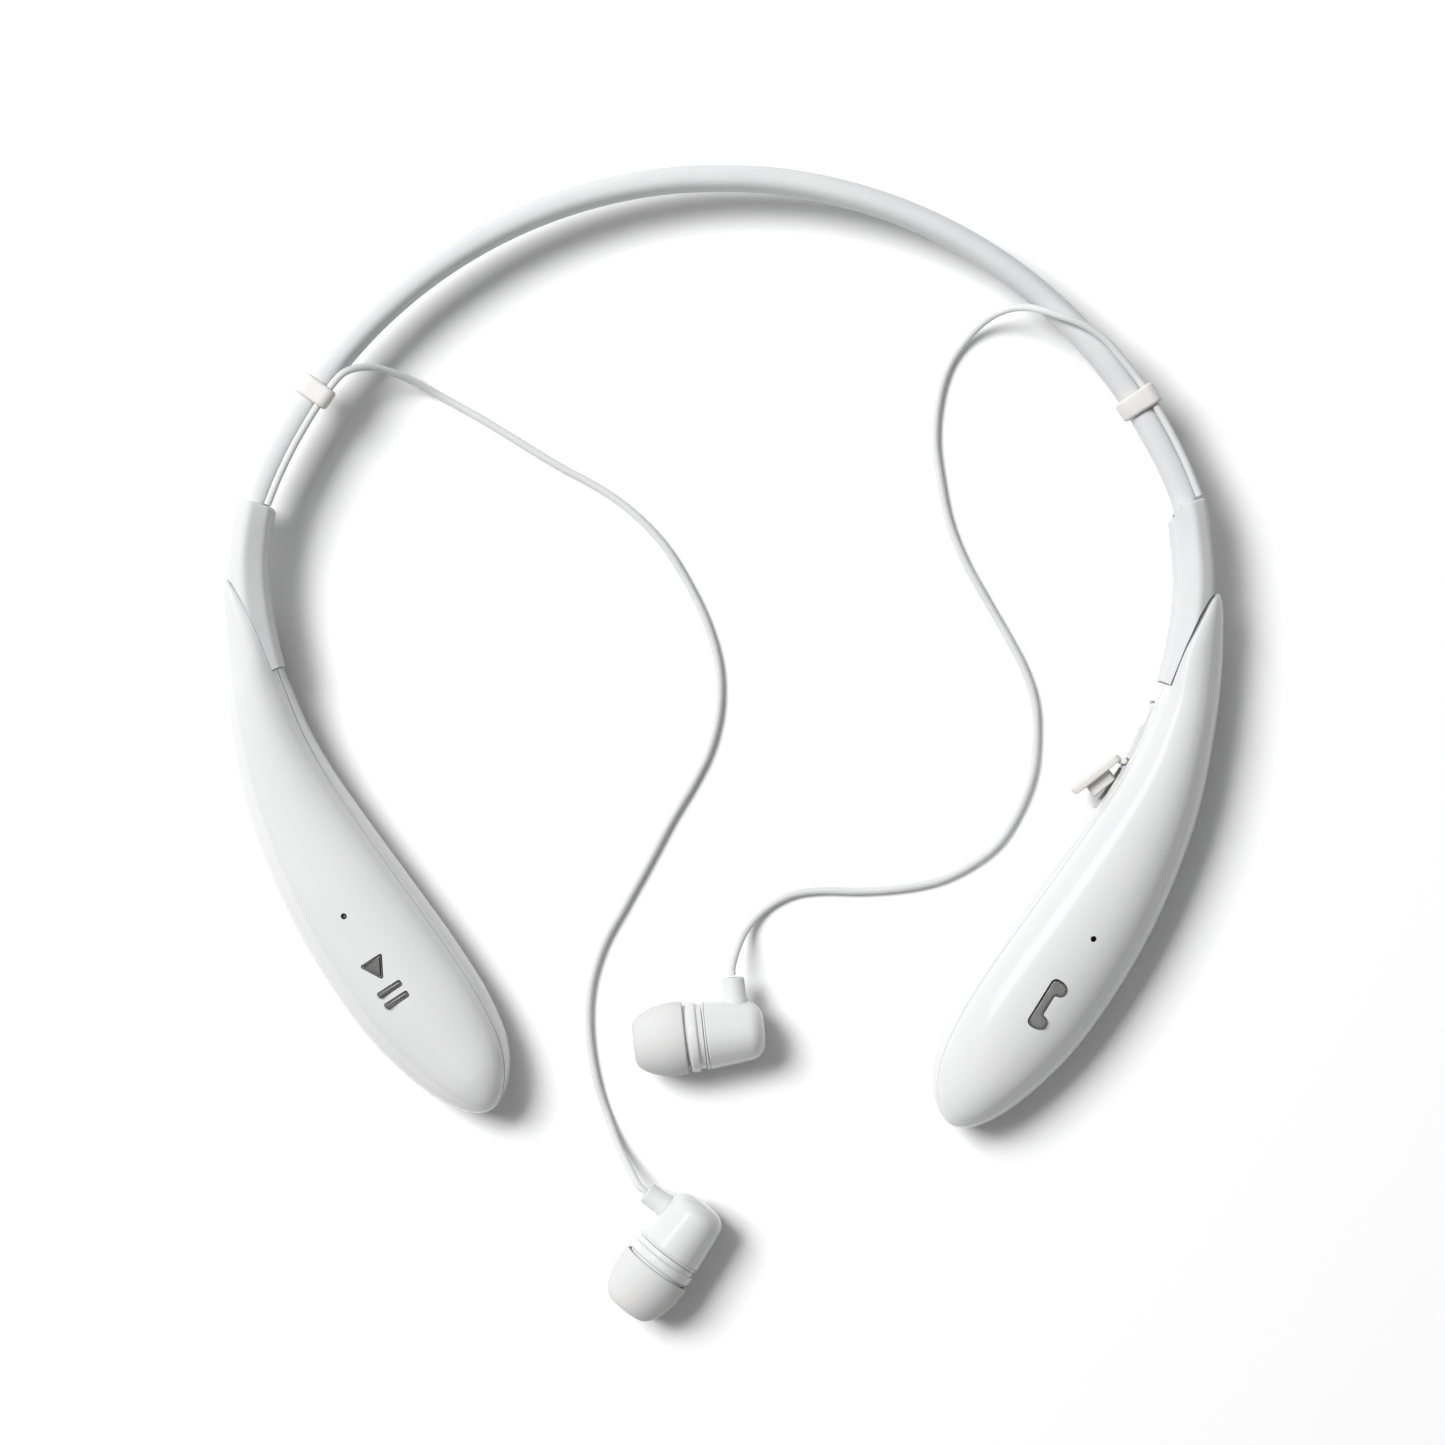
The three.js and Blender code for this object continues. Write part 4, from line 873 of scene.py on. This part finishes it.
def make_screw(side, number, s, n):
    """A pan-head screw with a cross recess, seen at the bottom of its counterbore."""
    low = float(bottom_edge(s)) + 0.9
    profile = (
        (low, ON_AXIS), (low, 0.9), (low + 0.12, 1.25), (low + 0.4, 1.45), (low + 0.95, 1.5),
        (low + 1.0, 0.6), (low + 6, 0.55), (low + 6.4, ON_AXIS),
    )
    screw = turned(f"{side}_screw_{number}", profile, 48)
    screw.data.transform(Matrix(((0, 0, 1, s), (0, 1, 0, n), (1, 0, 0, 0), (0, 0, 0, 1))))
    for length, width in ((1.7, 0.36), (0.36, 1.7)):
        slot = plain_prism("tool", soft_rectangle(length, width, 0.1, 24) + (s, n), low - 1, low + 0.45)
        combine(screw, slot)
    placed(screw, pod_place(side))
    settled(screw, f"{side}_arm", "steel", (f"{side}_pod_screw_{number}",))


# ---------------------------------------------------------------- collars and clips


MOUTH_ROUNDING = 0.35
MOUTH_DEPTH = 4
COLLAR_ROOM = 0.03  # between the collar and the outline of its notch
CLIP_ROUNDING = 0.6
CLIP_HOLE_REACH = 6


def make_collar(side):
    """A sleeve with a hole at its mouth for the band, cut to the notch in the pod."""
    count = 64
    hole = oval(BAND_WIDTH + 0.4, BAND_HEIGHT + 0.4, count)
    positions, sections = [COLLAR_MOUTH + MOUTH_DEPTH, COLLAR_MOUTH], [hole, hole]
    for turn in np.linspace(0, math.pi / 2, 5):
        positions.append(COLLAR_MOUTH + MOUTH_ROUNDING * (1 - math.cos(turn)))
        sections.append(collar_section(0, MOUTH_ROUNDING * (1 - math.sin(turn)), count))
    for share in np.linspace(0.02, 1, 40):
        positions.append(COLLAR_MOUTH + (COLLAR_END - COLLAR_MOUTH) * share)
        sections.append(collar_section(share, 0, count))
    collar = lofted(f"{side}_collar_sleeve", rings_along(side, positions, sections))
    area = placed(plain_prism("tool", notch_outline(-COLLAR_ROOM), CUT_FROM, CUT_TO), pod_place(side))
    combine(collar, area, "INTERSECT")
    settled(collar, f"{side}_arm", "satin_white", (f"{side}_collar",))


def collar_section(share, smaller, count):
    """A blunt ridge with a short slope to the outer side and a longer one to the inner side."""
    width = COLLAR_WIDTH[0] + (COLLAR_WIDTH[1] - COLLAR_WIDTH[0]) * share
    height = COLLAR_HEIGHT[0] + (COLLAR_HEIGHT[1] - COLLAR_HEIGHT[0]) * share
    x, y = width / 2, height / 2
    outer_fall, inner_fall = COLLAR_FALL
    inner_fall -= 0.6 * max(1 - share / 0.15, 0)  # fuller at the mouth, where the cord goes in
    corners = ((x, 0), (x, y - outer_fall), (COLLAR_RIDGE, y), (-x, y - inner_fall), (-x, -y), (x, -y))
    outline = inset(rounded_outline(corners, 0.8, 9), smaller)
    start = int(np.argmin(np.abs(outline[:, 1]) + (outline[:, 0] < 0) * 100))
    outline = np.roll(outline, -start, axis=0)
    outline = np.vstack([outline, outline[:1]])
    return resampled(outline, np.linspace(0, lengths(outline)[-1], count, endpoint=False))


def hull_outline(points):
    """The outline of the smallest convex shape round the points."""
    points = sorted(map(tuple, points))

    def turns_left(a, b, c):
        return (b[0] - a[0]) * (c[1] - b[1]) - (b[1] - a[1]) * (c[0] - b[0]) > 0

    def half(ordered):
        chain = []
        for p in ordered:
            while len(chain) > 1 and not turns_left(chain[-2], chain[-1], p):
                chain.pop()
            chain.append(p)
        return chain[:-1]

    return np.array(half(points) + half(points[::-1]))


def make_clip(side):
    """A soft ring round the band with a lobe for the cord."""
    lobe = np.array([CORD_SIDE[side] * CORD_BESIDE_BAND, CORD_ABOVE_BAND])
    around_band = oval(BAND_WIDTH + 1.9, BAND_HEIGHT + 1.9, 96, 0.85)
    around_cord = circle(1.5, *lobe)
    outline = hull_outline(np.vstack([around_band, around_cord]))
    outline = np.vstack([outline, outline[:1]])
    outline = resampled(outline, np.linspace(0, lengths(outline)[-1], 96, endpoint=False))
    middle = HINGE_AT + BAND_RADIUS * math.radians(CLIP_ANGLE[side])
    half = CLIP_LENGTH / 2
    positions, sections = [], []
    for turn in np.linspace(0, math.pi / 2, 6):
        positions.append(middle - half + CLIP_ROUNDING * (1 - math.cos(turn)))
        sections.append(inset(outline, CLIP_ROUNDING * (1 - math.sin(turn))))
    for turn in np.linspace(math.pi / 2, 0, 6):
        positions.append(middle + half - CLIP_ROUNDING * (1 - math.cos(turn)))
        sections.append(inset(outline, CLIP_ROUNDING * (1 - math.sin(turn))))
    clip = lofted(f"{side}_clip_ring", rings_along(side, positions, sections))
    reach = np.linspace(middle - CLIP_HOLE_REACH, middle + CLIP_HOLE_REACH, 13)
    band_hole = oval(BAND_WIDTH + 0.3, BAND_HEIGHT + 0.3, 44)
    cord_hole = circle(CORD_DIAMETER / 2 + 0.2, *lobe, 32)
    for hole in (band_hole, cord_hole):
        combine(clip, lofted("tool", rings_along(side, reach, [hole] * len(reach))))
    settled(clip, f"{side}_clip", "warm_white", (f"{side}_cable_clip",))


# ---------------------------------------------------------------- earbuds, drawn with x towards the ear


HOUSING_SIDE = (
    (-12.7, ON_AXIS), (-12.68, 1.6), (-12.45, 3.0), (-11.8, 4.1), (-10.8, 4.75), (-9.4, 5.0),
    (-6.0, 5.35), (-3.3, 5.62),
)
TIP_DOME = (
    (0.7, 6.05), (2.0, 6.12), (3.6, 6.02), (5.2, 5.7), (6.8, 5.15), (8.0, 4.45), (8.7, 3.75),
    (9.0, 3.1), (9.05, 2.6),
)


def housing_outline():
    outside = centripetal(HOUSING_SIDE, 8)
    groove = [(-3.2, 5.5), (-3.05, 5.5)]
    front = [(-2.98, 5.7), (-2.85, 5.74), (-2.72, 5.66), (-2.7, 5.55), (-2.7, 4.75)]
    inside = [(-6.0, 4.5), (-9.4, 4.2), (-11.0, 3.4), (-11.7, ON_AXIS)]
    return [*outside, *groove, *front, *inside]


FRONT_RING = (
    (-4.2, 4.35), (-2.6, 4.35), (-2.6, 5.3), (-2.52, 5.42), (-1.85, 5.46), (-1.72, 5.52),
    (-1.62, 5.72), (-1.45, 5.83), (-1.2, 5.86), (-0.5, 5.86), (-0.25, 5.8), (-0.05, 5.66),
    (0.05, 5.45), (0.15, 5.32), (0.55, 5.28), (0.62, 5.1), (0.62, 3.6), (0.5, 3.45), (0.15, 3.4),
    (0.1, 2.6), (0.2, 2.3), (4.3, 2.3), (4.5, 2.15), (4.5, 1.6), (-1.2, 1.6), (-1.2, 3.6),
    (-4.2, 3.6),
)


def ear_tip_outline():
    stem = [(0.4, 2.6), (0.4, 3.2), (6.2, 3.2)]
    inside = [(6.9, 3.5), (6.6, 4.3), (5.2, 4.95), (3.0, 5.35), (0.7, 5.55)]
    skirt = [(0.52, 5.62), (0.45, 5.78), (0.52, 5.95), (0.7, 6.05)]
    dome = centripetal(TIP_DOME, 6)[1:]
    bore = [(8.95, 2.15), (8.7, 2.0), (5.0, 2.0), (5.0, 2.6)]
    return [*stem, *inside, *skirt, *dome, *bore]


def make_relief(side):
    """The sleeve that leads the cord out of the earbud's side."""
    foot = [(3.6, 0.8), (4.0, 2.05), (5.25, 2.05), (5.45, 1.98), (5.55, 1.92)]
    rim = [(8.55, 0.03), (8.8, 0.1), (8.96, 0.28), (RELIEF_TOP, 0.45)]
    rim = [(x, RELIEF_RADIUS - fall) for x, fall in rim]
    hole = [(RELIEF_TOP, 0.72), (8.3, 0.68), (8.2, 0.3), (3.6, 0.3)]
    relief = turned(f"{side}_cord_sleeve", [*foot, *rim, *hole], 64)
    relief.data.transform(Matrix.Translation((RELIEF_AT, 0, 0)) @ Matrix.Rotation(math.radians(-90), 4, "Z"))
    around = turned("tool", housing_outline(), 96)
    combine(relief, around)
    return relief


def make_earbud(side):
    place = earbud_place(side)
    housing = turned(f"{side}_earbud_shell", housing_outline(), 128)
    ring = turned(f"{side}_earbud_front", FRONT_RING, 128)
    tip = turned(f"{side}_silicone_tip", ear_tip_outline(), 128)
    arm = f"{side}_arm"
    settled(placed(housing, place), arm, "gloss_white", (f"{side}_earbud_housing",))
    settled(placed(ring, place), arm, "gloss_white", (f"{side}_earbud_front_ring",))
    settled(placed(tip, place), f"{side}_ear_tip", "silicone", (f"{side}_ear_tip",))
    settled(placed(make_relief(side), place), arm, "soft_white", (f"{side}_strain_relief",))


for pod_side in SIDES:
    make_upper_shell(pod_side)
    make_lower_shell(pod_side)
    make_keys(pod_side)
    for boss_number, (boss_s, boss_n) in enumerate(BOSSES, 1):
        make_screw(pod_side, boss_number, boss_s, boss_n)
    make_collar(pod_side)
    make_clip(pod_side)
    make_earbud(pod_side)
make_rocker()
make_port_cover()

# ---------------------------------------------------------------- CAD nodes that stay

SLOTS = {row["node"]: row["material_slot"] for row in frame["record"]["subparts"]}
for node_name, node in frame["nodes"].items():
    if not node.hide_render:
        node.data.materials.clear()
        node.data.materials.append(MATERIALS[SLOTS[node_name]])

# ---------------------------------------------------------------- floor and light


def make_floor():
    half = 3.0
    corners = [(-half, -half, 0), (half, -half, 0), (half, half, 0), (-half, half, 0)]
    mesh = bpy.data.meshes.new("floor")
    mesh.from_pydata(corners, [], [(0, 1, 2, 3)])
    floor = bpy.data.objects.new("floor", mesh)
    floor.location.z = -0.0001  # a hair below what stands on it
    bpy.context.scene.collection.objects.link(floor)
    paper = material_of("white_table", (0.95, 0.95, 0.95), 0.6)
    vary_color(paper, (0.948, 0.95, 0.952), (0.955, 0.955, 0.955), 3)
    floor.data.materials.append(paper)


def make_light(name, at, size, power, gloss=True):
    data = bpy.data.lights.new(name, "AREA")
    data.shape = "RECTANGLE"
    data.size, data.size_y = size
    data.energy = power
    light = bpy.data.objects.new(name, data)
    light.location = at
    light.rotation_mode = "QUATERNION"
    light.rotation_quaternion = (-Vector(at)).to_track_quat("-Z", "Y")
    light.visible_glossy = gloss
    bpy.context.scene.collection.objects.link(light)


make_floor()
make_light("key", (-1.0, 0.62, 1.5), (0.85, 0.85), 43.5, gloss=False)
make_light("softbox", (-0.42, 0.5, 1.1), (0.7, 0.35), 1.5)
make_light("fill", (0.2, 0.1, 1.7), (2.0, 2.0), 4.5)

world = bpy.data.worlds.new("world")
bpy.context.scene.world = world
world.use_nodes = True
world.node_tree.nodes["Background"].inputs["Color"].default_value = (1, 1, 1, 1)
world.node_tree.nodes["Background"].inputs["Strength"].default_value = 0.09
bpy.context.scene.view_settings.view_transform = "Standard"
